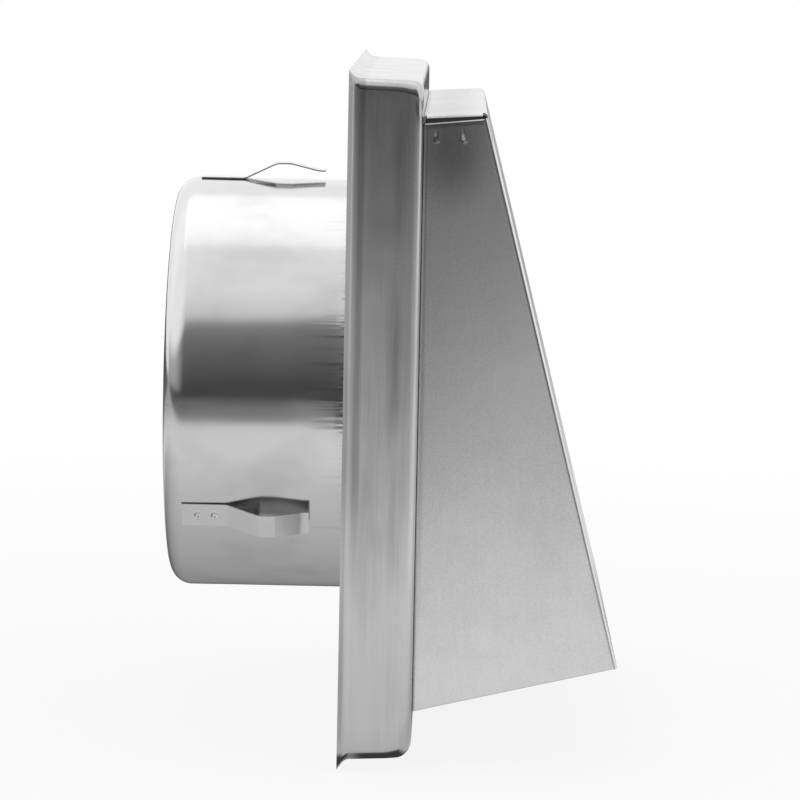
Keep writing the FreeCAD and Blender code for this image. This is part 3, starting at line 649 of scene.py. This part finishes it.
def square_ring(sizes, radius, profile):
    """Points of a square with rounded corners; profile gives reach and depth for a fold radius."""
    points = []
    folds = (sizes.top_fold, sizes.side_fold, sizes.low_fold, sizes.side_fold)
    balls = (sizes.top_ball, sizes.low_ball, sizes.low_ball, sizes.top_ball)
    turns = [sin(angle) for angle in spread(-QUARTER, QUARTER, SIDE_STEPS)]
    for quarter, fold in enumerate(folds):
        turned = Matrix.Rotation(quarter * QUARTER, 3, "Y")
        start = (balls[quarter - 1], profile(balls[quarter - 1])[0] - radius)
        end_half, end_depth = profile(balls[quarter])
        end_half -= radius
        for share in turns[:-1]:
            ball, straight = start if share < 0 else (balls[quarter], end_half)
            across = share * straight
            nearness = smooth(abs(across), straight - sizes.ball_reach, straight)
            half, depth = profile(fold + (ball - fold) * nearness)
            points.append(turned @ Vector((across, depth, half)))
        for across, up in arc((end_half, end_half), radius, QUARTER, 0, BEND_STEPS)[:-1]:
            points.append(turned @ Vector((across, end_depth, up)))
    return points


def round_ring(radius, depth, pattern):
    """Points of a circle at one depth, each in the direction of a pattern's point."""
    spokes = [Vector((point.x, 0, point.z)).normalized() * radius for point in pattern]
    return [Vector((spoke.x, depth, spoke.z)) for spoke in spokes]


def pan_rings(sizes, inset):
    """Rings of the pan's outside, or of its inside an inset below, from plate to rim."""
    draft, bent = sizes.draft, sizes.flare_angle
    radius, lip = sizes.flare_radius, sizes.flare_lip
    face = -(sizes.depth - inset)
    centre_out = sizes.rim_half - lip * sin(bent) + radius * cos(bent)
    centre_back = -radius * sin(bent) - lip * cos(bent)
    flared = arc((centre_out, centre_back), radius + inset, pi - draft, pi - bent, FLARE_STEPS)
    wall_out, wall_y = flared[0]
    lip_half, lip_y = flared[-1]
    for step in LIP_SHARES:
        flared.append((lip_half - lip_y * tan(bent) * step, lip_y * (1 - step)))
    corner = sizes.corner_radius - inset
    plate_corner = sizes.plate_corner_radius - inset
    rim_corner = max(sizes.rim_corner_radius - inset, LEAST_CORNER)

    def wall_half(y):
        return wall_out - (wall_y - y) * tan(draft)

    def on_fold(fold, angle):
        bend = fold - inset
        bend_y = face + bend
        bend_half = wall_half(bend_y) - bend / cos(draft)
        return bend_half + bend * sin(angle), bend_y - bend * cos(angle)

    def on_wall(fold, share):
        start = on_fold(fold, QUARTER - draft)[1]
        y = start + (wall_y - start) * share
        return wall_half(y), y

    rings = []
    steps = [(on_fold, angle) for angle in spread(0, QUARTER - draft, FOLD_STEPS)]
    steps += [(on_wall, share) for share in spread(0, 1, WALL_STEPS)[1:-1]]
    for profile, step in steps:
        flatness = 1 - smooth(profile(sizes.top_ball, step)[1] - face, 0, sizes.ball_reach)
        here = corner + (plate_corner - corner) * flatness
        rings.append(square_ring(sizes, here, lambda fold: profile(fold, step)))
    for half, y in flared:
        here = corner + (rim_corner - corner) * (y - wall_y) / -wall_y
        rings.append(square_ring(sizes, here, lambda fold: (half, y)))
    return rings


def wave_walls(ring, sizes):
    """Moves wall points inwards by slow waves that fade out at rim, plate and corners."""
    moved = []
    for point in ring:
        sideways = abs(point.x) > abs(point.z)
        across, out = (point.z, point.x) if sideways else (point.x, point.z)
        level = (point.y + sizes.depth) / sizes.depth
        calm = smooth(level, 0.2, 0.4) * (1 - smooth(level, 0.7, 0.85))
        calm *= 1 - smooth(abs(across), sizes.rim_half * 0.8, sizes.rim_half * 0.93)
        side = copysign(2 if sideways else 1, out)
        height = noise.noise(Vector((across * 45, point.y * 90, side * 7)))
        height += 0.4 * noise.noise(Vector((across * 160, point.y * 120, side * 11)))
        inward = copysign(sizes.wave * calm * (1 + height), out)
        moved.append(point - Vector((inward, 0, 0) if sideways else (0, 0, inward)))
    return moved


def plate_rings(circle_radius, square, depth):
    """Rings across the flat plate, from a circle out to a square ring."""
    circle = round_ring(circle_radius, depth, square)
    return [
        [inner.lerp(outer, share) for inner, outer in zip(circle, square)]
        for share in spread(0, 1, PLATE_STEPS)
    ]


def build_pan(sizes, finish):
    outside, inside = pan_rings(sizes, 0), pan_rings(sizes, sizes.sheet)
    plate, hole, bend = -sizes.depth, sizes.hole_radius, sizes.neck_bend
    neck = hole + sizes.sheet
    foot, mouth = plate - bend, plate - sizes.neck_height
    centre = (neck + bend, foot)
    outer = chain(
        line((neck, mouth), (neck, foot), 4),
        arc(centre, bend, pi, QUARTER, BEND_STEPS))
    inner = chain(
        arc(centre, bend + sizes.sheet, QUARTER, pi, BEND_STEPS),
        line((hole, foot), (hole, mouth), 4))
    rows = [round_ring(radius, y, outside[0]) for radius, y in outer]
    rows += plate_rings(neck + bend, outside[0], plate)[1:]
    rows += outside[1:]
    rows += inside[:0:-1]
    rows += plate_rings(neck + bend, inside[0], plate + sizes.sheet)[:0:-1]
    rows += [round_ring(radius, y, outside[0]) for radius, y in inner]
    rows = [wave_walls(row, sizes) for row in rows]
    piece = mesh_piece("pan", [grid_mesh("pan", rows, closed=True)])
    settle(piece)
    hand_over(piece, "root", "pan_steel", pan_steel(finish, sizes), "base_plate")


# Collar

COLLAR_COLUMNS = 288
TUBE_STEPS = 46
LIP_STEPS = 16
DENT_PLACE = radians(170)
DENT_SPREAD = radians(15)


def build_collar(sizes, finish):
    radius, seat, sheet, bend = sizes.radius, sizes.seat, sizes.sheet, sizes.bend
    inner, edge, back = radius - sheet, sizes.flange_radius, seat + sheet
    bend_start, bend_top = back + bend, radius + bend
    lip_start, lip_low = sizes.reach - sizes.lip_radius, radius - sizes.lip_radius
    profile = chain(
        line((seat, bend_top), (seat, edge), 4),
        line((seat, edge), (back, edge), 1),
        line((back, edge), (back, bend_top), 4),
        arc((bend_start, bend_top), bend, pi, 1.5 * pi, BEND_STEPS),
        line((bend_start, radius), (lip_start, radius), TUBE_STEPS),
        arc((lip_start, lip_low), sizes.lip_radius, QUARTER, 0, LIP_STEPS),
        line((sizes.reach, lip_low), (sizes.reach - sheet, lip_low), 1),
        arc((lip_start, lip_low), sizes.lip_radius - sheet, 0, QUARTER, LIP_STEPS),
        line((lip_start, inner), (bend_start, inner), TUBE_STEPS),
        arc((bend_start, bend_top), bend + sheet, 1.5 * pi, pi, BEND_STEPS)[:-1],
    )
    free = seat + 2 * MM
    rows = []
    for y, ring_radius in profile:
        row = []
        loose = smooth(y, free, 4 * MM) * (1 - smooth(y, lip_start - 10 * MM, lip_start))
        dented = sizes.dent * smooth(14 * MM - y, 0, 12 * MM) * smooth(y, free, 0)
        for angle in spread(0, 2 * pi, COLLAR_COLUMNS)[:-1]:
            across, up = cos(angle), sin(angle)
            spot = Vector((across * 1.3, y * 22, up * 1.3))
            wander = noise.noise(spot) + 0.5 * noise.noise(spot * 2.6)
            aside = (angle - DENT_PLACE) / DENT_SPREAD
            here = ring_radius - sizes.out_of_round * loose * (1 + wander)
            here -= dented * exp(-aside * aside)
            row.append(Vector((here * across, y, here * up)))
        rows.append(row)
    piece = mesh_piece("collar", [grid_mesh("collar", rows, closed=True)])
    settle(piece)
    hand_over(piece, "root", "collar_steel", collar_steel(finish, sizes), "duct_collar")


# Cowl

PANEL_COLUMNS = 30
PANEL_ROWS = 90
FRONT_COLUMNS = 48
TOP_ROWS = 12
REAR_FOLD_SHARE = 0.6
REAR_FOLD_STEPS = 4
SHEARED_SHARES = (0.08, 0.25, 0.5, 0.75, 1)
WELD_WINDOW = 1.7
WELD_RING_REACH = 1.5
WELD_RING_HEIGHT = 0.18


class CowlLines:
    """The cowl's planes and corner lines, in the plane of its side panels."""

    def __init__(self, sizes, face):
        self.sizes = sizes
        self.face = face
        self.slope = (sizes.low_reach - sizes.top_reach) / (sizes.top_front - sizes.low_front)
        lean = atan(self.slope)
        self.front_normal = Vector((-cos(lean), sin(lean)))
        self.top_run = Vector((-sizes.top_reach, sizes.top_front - sizes.top_back)).normalized()
        self.top_normal = Vector((self.top_run.y, -self.top_run.x))
        turn = self.front_normal.angle(self.top_normal)
        down = Vector((-sin(lean), -cos(lean)))
        peak = Vector((face - sizes.top_reach, sizes.top_front))
        self.fold_start = peak + down * sizes.fold_radius * tan(turn / 2)

    def on_front(self, height):
        """A point of the front plane, out and up."""
        reach = self.sizes.top_reach + (self.sizes.top_front - height) * self.slope
        return Vector((self.face - reach, height))

    def at_fold(self, height):
        """The end of a side panel's flat part, behind a point of the front plane."""
        return self.on_front(height) - self.front_normal * self.sizes.fold_radius


def weld_pit(along, up, welds, sizes):
    """Depth of the spot welds' pits at a place, with a low raised ring round each."""
    total = 0
    for weld_along, weld_up in welds:
        share = hypot(along - weld_along, up - weld_up) / sizes.weld_radius
        if share < 1:
            total += sizes.weld_depth * (1 - share * share)
        elif share < WELD_RING_REACH:
            ring = (share - 1) / (WELD_RING_REACH - 1)
            total -= sizes.weld_depth * WELD_RING_HEIGHT * sin(ring * pi)
    return total


def side_column(cowl, share):
    """Lower and upper end of a side panel's line, a share of the way to the front fold."""
    sizes = cowl.sizes
    back = cowl.face - sizes.fold_radius * REAR_FOLD_SHARE
    front_low = cowl.at_fold(sizes.low_front + sizes.nick / 2)
    front_top = cowl.at_fold(sizes.top_front - sizes.seam_front)
    low = Vector((back, sizes.low_back)).lerp(front_low, share)
    top = Vector((back, sizes.top_back - sizes.seam_back)).lerp(front_top, share)
    nick_start = cowl.on_front(sizes.low_front).x + sizes.nick
    slope = (sizes.low_front - sizes.low_back) / sizes.low_reach
    low.y = sizes.low_back + (cowl.face - max(low.x, nick_start)) * slope
    if low.x < nick_start:
        low.y += (front_low.y - low.y) * (nick_start - low.x) / (nick_start - front_low.x)
    return low, top


def cowl_half_row(cowl, level, shares, welds, sign):
    """One side's rear flange, rear fold, panel and front fold, at a level of the panel."""
    sizes = cowl.sizes
    fold, edge = sizes.fold_radius, sizes.edge_round
    rear_fold = fold * REAR_FOLD_SHARE
    rear = sizes.half - rear_fold
    low, top = side_column(cowl, 0)
    up = min(low.y + (top.y - low.y) * level, sizes.top_back - sizes.seam_back)
    flange_up = min(up, sizes.top_back - sizes.tab_drop)
    points = [(x, cowl.face, flange_up) for x in spread(sizes.half - sizes.flange, rear, 3)]
    points[-1] = (rear, cowl.face, up)
    turned = arc((cowl.face - rear_fold, rear), rear_fold, 0, QUARTER, REAR_FOLD_STEPS)
    points += [(x, y, up) for y, x in turned[1:-1]]
    for share in shares:
        low, top = side_column(cowl, share)
        spot = low.lerp(top, level)
        pit = weld_pit(*spot, welds, sizes)
        short = max(0, edge - min(spot.y - low.y, top.y - spot.y))
        pit += edge - sqrt(edge * edge - short * short)
        points.append((sizes.half - pit, *spot))
    low, top = side_column(cowl, 1)
    tangent = low.lerp(top, level)
    for x, out in arc((sizes.half - fold, 0), fold, 0, QUARTER, BEND_STEPS)[1:]:
        points.append((x, *(tangent + cowl.front_normal * out)))
    return [Vector((sign * x, y, z)) for x, y, z in points]


def cowl_wrap_rows(cowl):
    """Rows of the outside of flanges, sides, folds and front, from the lower edge up."""
    sizes = cowl.sizes
    places = (sizes.weld_first, sizes.weld_second)
    weld_up = sizes.top_back - sizes.weld_drop
    welds = [(cowl.face - place, weld_up) for place in places]
    window = WELD_WINDOW * sizes.weld_radius
    reach = cowl.face - cowl.on_front(weld_up).x - sizes.fold_radius
    weld_shares = [place / reach for place in places]
    shares = refined(spread(0, 1, PANEL_COLUMNS), weld_shares, window / reach, WELD_STEP / reach)
    span = sizes.top_back - sizes.low_back
    weld_level = (weld_up - sizes.low_back) / span
    levels = refined(
        spread(0, 1, PANEL_ROWS), [weld_level], 1.3 * window / span, WELD_STEP / span)
    rims = [sizes.edge_round * share / span for share in SHEARED_SHARES]
    rows = []
    for level in sorted({*levels, *rims, *(1 - rim for rim in rims)}):
        left, right = (cowl_half_row(cowl, level, shares, welds, sign) for sign in (-1, 1))
        across = spread(left[-1].x, right[-1].x, FRONT_COLUMNS)[1:-1]
        front = [Vector((x, *left[-1].yz)) for x in across]
        rows.append(left + front + right[::-1])
    return rows


def lower_front(rows, cowl):
    """Ends the front panel's rows where the top's front fold begins."""
    limit = cowl.fold_start.y
    lowered = cowl.on_front(limit)
    front_half = cowl.sizes.half - cowl.sizes.fold_radius
    for point in (point for row in rows for point in row):
        if point.z > limit and abs(point.x) <= front_half + NEAR:
            if point.y < cowl.on_front(point.z).x + 10 * NEAR:
                point.y, point.z = lowered
    return rows


def cowl_top_meshes(cowl):
    """Top panel with its front fold, rear tab and turned-down side tabs."""
    sizes, normal = cowl.sizes, cowl.top_normal
    fold = sizes.fold_radius
    rear_fold = fold * REAR_FOLD_SHARE
    flat_half = sizes.half - sizes.sheet - fold
    tab_end = sizes.top_back - sizes.tab_drop
    centre = cowl.fold_start - cowl.front_normal * fold
    begin = atan2(cowl.front_normal.y, cowl.front_normal.x)
    front_arc = arc(centre, fold, begin, atan2(normal.y, normal.x), 10)
    deck_end = Vector((cowl.face, sizes.top_back)) + cowl.top_run * rear_fold
    deck = line(front_arc[-1], deck_end, TOP_ROWS)
    rear_centre = (cowl.face - rear_fold, deck_end.y - rear_fold)
    rear_arc = arc(rear_centre, rear_fold, QUARTER, 0, REAR_FOLD_STEPS)
    path = chain(front_arc, deck, rear_arc, line(rear_arc[-1], (cowl.face, tab_end), 4))
    meshes = [grid_mesh("top", sweep(path, spread(-flat_half, flat_half, FRONT_COLUMNS)))]
    for sign in (-1, 1):
        strip = []
        for spot in deck:
            row = []
            for inward, x in arc((-fold, flat_half), fold, 0, QUARTER, BEND_STEPS):
                row.append(Vector((sign * x, *(Vector(spot) + normal * inward))))
            low = Vector((*row[-1].xy, tab_end))
            row += [row[-1].lerp(low, drop) for drop in spread(0, 1, 4)[1:]]
            strip.append(row[::sign])
        meshes.append(grid_mesh("side_tab", strip))
    return meshes


def build_hood(sizes, pan, finish):
    cowl = CowlLines(sizes, -pan.depth)
    steel = hood_steel(finish, sizes, pan)
    wrap = [grid_mesh("cowl_wrap", lower_front(cowl_wrap_rows(cowl), cowl))]
    top = cowl_top_meshes(cowl)
    for name, meshes, outward in (("cowl_wrap", wrap, (0, -1, 0)), ("cowl_top", top, (0, 0, 1))):
        piece = mesh_piece(name, meshes)
        make_sheet(piece, outward, sizes.sheet)
        hand_over(piece, "root", "cowl_steel", steel, "hood")


# Leaf springs

# Each one's turn round the duct, and its shift along it
LEAVES = {
    "top": (0, -0.5 * MM),
    "left": (radians(-122.6), 0.6 * MM),
    "right": (radians(120), 0),
}
LEAF_BEND_STEPS = 10


def build_clips(sizes, collar, finish):
    low = collar.radius + sizes.sheet
    crest = low + sizes.rise
    fallen = crest - sizes.fall
    welded = collar.reach - collar.lip_radius - sizes.inset
    foot_end = welded - sizes.foot
    crest_start = foot_end - sizes.rise_run
    crest_end = crest_start - sizes.crest
    fall_end = crest_end - sizes.fall_run
    corners = [
        (welded, low), (foot_end, low), (crest_start, crest), (crest_end, crest),
        (fall_end, fallen), (fall_end - sizes.tip, fallen),
    ]
    bends = (sizes.bend + sizes.sheet, sizes.crest_bend, sizes.crest_bend, sizes.tip_bend)
    weld_places = [welded - sizes.weld_first, welded - sizes.weld_second]
    welds = [(place, 0) for place in weld_places]
    window = WELD_RING_REACH * sizes.weld_radius
    foot = refined(spread(foot_end + 1 * MM, welded, 16), weld_places, window, WELD_STEP)
    path = [(place, low) for place in reversed(foot)]
    path += rounded_path(corners, bends, LEAF_BEND_STEPS)[1:]
    across = refined(spread(-sizes.width / 2, sizes.width / 2, 12), [0], window, WELD_STEP)
    steel = spring_steel(finish)
    for name, (turn, shift) in LEAVES.items():
        rows = sweep(path, across)
        for point in (point for row in rows for point in row):
            if point.z < low + NEAR:
                point.z -= weld_pit(point.y, point.x, welds, sizes)
        piece = mesh_piece(f"leaf_{name}", [grid_mesh("leaf", rows)])
        make_sheet(piece, (0, 0, 1), sizes.sheet)
        piece.data.transform(Matrix.Translation((0, shift, 0)))
        piece.data.transform(Matrix.Rotation(turn, 4, "Y"))
        hand_over(piece, "root", "spring_steel", steel, f"spring_clip_{name}")


# Draught flap

FLAP_STEPS = 40
HEM_STEPS = 6
CURL_STEPS = 22
CURL_END = -0.3 * pi


def build_flap(sizes, finish):
    fold, half, back = sizes.fold_radius, sizes.half, sizes.back
    inner, bent, hem = half - fold, back - fold, back - sizes.fold
    side_arc = arc((inner, bent), fold, QUARTER, 0, HEM_STEPS)
    side = chain(side_arc, line((half, bent), (half, hem), 2))
    other_side = [(-x, y) for x, y in reversed(side)]
    across = chain(other_side, line((-inner, back), (inner, back), FLAP_STEPS), side)
    plate_low = sizes.low + fold
    shoulder = sizes.rod_height - sizes.curl_radius - 1 * MM
    heights = spread(plate_low, shoulder, FLAP_STEPS)
    plate = [[Vector((x, y, z)) for x, y in across] for z in heights]
    low_arc = arc((bent, plate_low), fold, 0, -QUARTER, HEM_STEPS)
    lip = chain(low_arc, line((bent, sizes.low), (hem, sizes.low), 2))
    front = back - sizes.sheet
    rod = (front + sizes.curl_radius, sizes.rod_height)
    curl = chain(
        line((front, shoulder), (front, sizes.rod_height), 4),
        arc(rod, sizes.curl_radius, pi, CURL_END, CURL_STEPS))
    lip_rows = sweep(lip, spread(-inner, inner, FLAP_STEPS))
    tray = [grid_mesh("plate", plate), grid_mesh("lip", lip_rows)]
    roll = [grid_mesh("curl", sweep(curl, spread(-half, half, FLAP_STEPS)))]
    steel = plain_steel("flap_steel", finish.hood_colour, finish.flap_roughness)
    for name, meshes, out in (("flap_tray", tray, 1), ("flap_curl", roll, -1)):
        piece = mesh_piece(name, meshes)
        make_sheet(piece, (0, out, 0), sizes.sheet)
        hand_over(piece, "flap_body", "flap_steel", steel, "flap")


# Hinge: the rod and its brackets keep their own solids

def finish_hinge(finish):
    steel = plain_steel("hinge_steel", finish.hinge_colour, finish.hinge_roughness)
    for name in ("hinge_rod", "hinge_bracket_left", "hinge_bracket_right"):
        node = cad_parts[name]
        node.data.materials.clear()
        node.data.materials.append(steel)


# Stage

FLOOR_GAP = 0.5 * MM
FLOOR_REACH = 30.0
SENSOR_WIDTH = 36.0
VIEW_END = 50.0


def shown(tree):
    """One for camera rays, and one for all that show the background: those, or off metal."""
    path = tree.node("ShaderNodeLightPath")
    kinds = ("Is Camera Ray", "Is Glossy Ray", "Is Transmission Ray")
    camera, glossy, passed = (path.other(kind) for kind in kinds)
    return camera, tree.larger(camera, tree.larger(glossy, passed))


def floor_material():
    """White paper that keeps the part's shadow; off metal, it ends in the dark of the room and
    carries painted shadows under and beside the part.
    """
    tree = Tree(bpy.data.materials.new("studio_floor"))
    x, y, _ = tree.split(tree.place())
    away = abs(x)
    rear = y.between(-0.03, 0.02, "LINEAR")
    paper_end, end_width = 0.46 - rear * 0.16, 0.09 - rear * 0.04
    near_light = ((away - paper_end) / end_width).until(-1, 1) * (0.1 + rear * 0.4)
    far_light = (0.86 - rear * 0.6) / (1 + tree.math("POWER", away / 1.05, 1.7))
    front_light = (0 - y).between(0.1, 0.3) * 0.12
    back_dark = y.between(0.3, 0.8) * 0.5
    # Painted shadows, seen only off metal: beneath and round the part, and a contact shadow under
    # the pan's lower edge.
    painted_shadow_beneath = x.between(-0.13, 0.12, "LINEAR") * tree.length(x, y).until(0.1, 0.35) * 0.92
    shade = (1 - rear) * away.until(0.12, 0.3) * 0.15
    painted_contact_shadow = x.between(-0.0835, -0.0785) * abs(y + 0.011).until(0.005, 0.011) * 0.9
    glow = (near_light + far_light + front_light) * (1 - back_dark) * (1 - painted_shadow_beneath)
    glow = glow * (1 - shade) * (1 - painted_contact_shadow)
    camera, seen = shown(tree)
    light = {"Color": (1, 1, 1, 1), "Strength": camera + (1 - camera) * glow}
    white = tree.node("ShaderNodeEmission", None, light)
    paper = tree.node("ShaderNodeBsdfDiffuse", None, {"Color": (0.9, 0.9, 0.9, 1)})
    near = tree.length(x, y).until(0.16, 0.5)
    share = (1 - seen) + seen * camera * near * 0.12
    return tree.end(tree.node("ShaderNodeMixShader", None, {0: share, 1: white, 2: paper}))


def studio_world():
    """White background, which metal shows too, and one dark side of the room, off metal only."""
    world = bpy.data.worlds.new("studio")
    bpy.context.scene.world = world
    tree = Tree(world)
    x, y, z = tree.split(tree.node("ShaderNodeTexCoord", output="Generated"))
    dark_side = (y.between(-0.4, 0.4) * 0.45 - x).between(0.15, 0.5)
    up = z + y.between(0, 1, "LINEAR") * 0.5
    height = 0.06 + y.between(0, 0.9) * 0.25 + up.between(0.1, 0.66, "LINEAR") * 0.15
    height = height + up.between(0.62, 0.72) * 0.5 + up.between(0.7, 0.95) * 0.2
    ceiling = x.between(-0.1, 0.3) * x.until(0.5, 0.9) * z.between(0.2, 0.5) * 0.12
    off_metal = 1 + ceiling - dark_side * (1 - tree.math("MINIMUM", height, 1.0))
    camera, seen = shown(tree)
    strength = camera + (1 - camera) * (seen * off_metal + (1 - seen) * 0.7)
    shader = tree.node("ShaderNodeBackground", None, {"Color": (1, 1, 1, 1), "Strength": strength})
    tree.node("ShaderNodeOutputWorld", None, {"Surface": shader})


def build_stage(stage):
    scene = bpy.context.scene
    scene.view_settings.view_transform = "Standard"
    level = cad_box[0][2] - FLOOR_GAP
    sides = ((-1, -1), (1, -1), (1, 1), (-1, 1))
    floor = new_object("floor", bpy.data.meshes.new("floor"))
    floor.data.from_pydata(
        [(x * FLOOR_REACH, y * FLOOR_REACH, level) for x, y in sides], [], [(0, 1, 2, 3)])
    floor.data.materials.append(floor_material())
    studio_world()

    lamp = new_object("soft_box", bpy.data.lights.new("soft_box", "AREA"))
    lamp.location = (stage.lamp_side / 2 + stage.lamp_shift, 0.0, stage.lamp_height)
    lamp.data.shape = "SQUARE"
    lamp.data.size = stage.lamp_side
    lamp.data.energy = stage.lamp_glow * pi * stage.lamp_side ** 2

    turned = Euler((QUARTER - stage.camera_pitch, 0, stage.camera_yaw - QUARTER)).to_matrix()
    turned = turned @ Matrix.Rotation(-stage.camera_roll, 3, "Z")
    camera = new_object("camera", bpy.data.cameras.new("camera"))
    camera.matrix_world = Matrix.Translation(stage.camera_place) @ turned.to_4x4()
    camera.data.lens = stage.lens
    camera.data.sensor_width = SENSOR_WIDTH
    camera.data.clip_end = VIEW_END
    scene.camera = camera


# Operators

class VENT_OT_pan(Operator):
    """Build the drawn square pan"""

    bl_idname = "vent_cap.pan"
    bl_label = "Pan"

    def execute(self, context):
        build_pan(context.scene.vent_pan, context.scene.vent_finish)
        return {"FINISHED"}


class VENT_OT_collar(Operator):
    """Build the round collar"""

    bl_idname = "vent_cap.collar"
    bl_label = "Collar"

    def execute(self, context):
        build_collar(context.scene.vent_collar, context.scene.vent_finish)
        return {"FINISHED"}


class VENT_OT_hood(Operator):
    """Build the folded cowl"""

    bl_idname = "vent_cap.hood"
    bl_label = "Cowl"

    def execute(self, context):
        scene = context.scene
        build_hood(scene.vent_hood, scene.vent_pan, scene.vent_finish)
        return {"FINISHED"}


class VENT_OT_clips(Operator):
    """Build the three leaf springs"""

    bl_idname = "vent_cap.clips"
    bl_label = "Leaf springs"

    def execute(self, context):
        scene = context.scene
        build_clips(scene.vent_clip, scene.vent_collar, scene.vent_finish)
        return {"FINISHED"}


class VENT_OT_flap(Operator):
    """Build the draught flap"""

    bl_idname = "vent_cap.flap"
    bl_label = "Draught flap"

    def execute(self, context):
        build_flap(context.scene.vent_flap, context.scene.vent_finish)
        return {"FINISHED"}


class VENT_OT_hinge(Operator):
    """Finish the hinge rod and its brackets"""

    bl_idname = "vent_cap.hinge"
    bl_label = "Hinge"

    def execute(self, context):
        finish_hinge(context.scene.vent_finish)
        return {"FINISHED"}


class VENT_OT_stage(Operator):
    """Set up the floor, the light and the camera"""

    bl_idname = "vent_cap.stage"
    bl_label = "Stage"

    def execute(self, context):
        build_stage(context.scene.vent_stage)
        return {"FINISHED"}


OPERATORS = (
    VENT_OT_pan, VENT_OT_collar, VENT_OT_hood, VENT_OT_clips, VENT_OT_flap, VENT_OT_hinge,
    VENT_OT_stage,
)

GROUPS = {
    "vent_pan": VentPanSizes, "vent_collar": VentCollarSizes, "vent_hood": VentHoodSizes,
    "vent_clip": VentClipSizes, "vent_flap": VentFlapSizes, "vent_finish": VentFinish,
    "vent_stage": VentStage,
}


class VENT_PT_sidebar(Panel):
    """The vent cap's operators and sizes"""

    bl_label = "Vent Cap"
    bl_space_type = "VIEW_3D"
    bl_region_type = "UI"
    bl_category = "Vent Cap"

    def draw(self, context):
        for operator in OPERATORS:
            self.layout.operator(operator.bl_idname)
        for name, group in GROUPS.items():
            box = self.layout.box()
            for size in group.__annotations__:
                box.prop(getattr(context.scene, name), size)


def register():
    for item in (*GROUPS.values(), *OPERATORS, VENT_PT_sidebar):
        bpy.utils.register_class(item)
    for name, group in GROUPS.items():
        setattr(bpy.types.Scene, name, PointerProperty(type=group))


def unregister():
    for name in GROUPS:
        delattr(bpy.types.Scene, name)
    for item in (VENT_PT_sidebar, *reversed(OPERATORS), *reversed(GROUPS.values())):
        bpy.utils.unregister_class(item)


def main():
    register()
    bpy.ops.vent_cap.pan()
    bpy.ops.vent_cap.collar()
    bpy.ops.vent_cap.hood()
    bpy.ops.vent_cap.clips()
    bpy.ops.vent_cap.flap()
    bpy.ops.vent_cap.hinge()
    bpy.ops.vent_cap.stage()


if __name__ == "__main__":
    main()
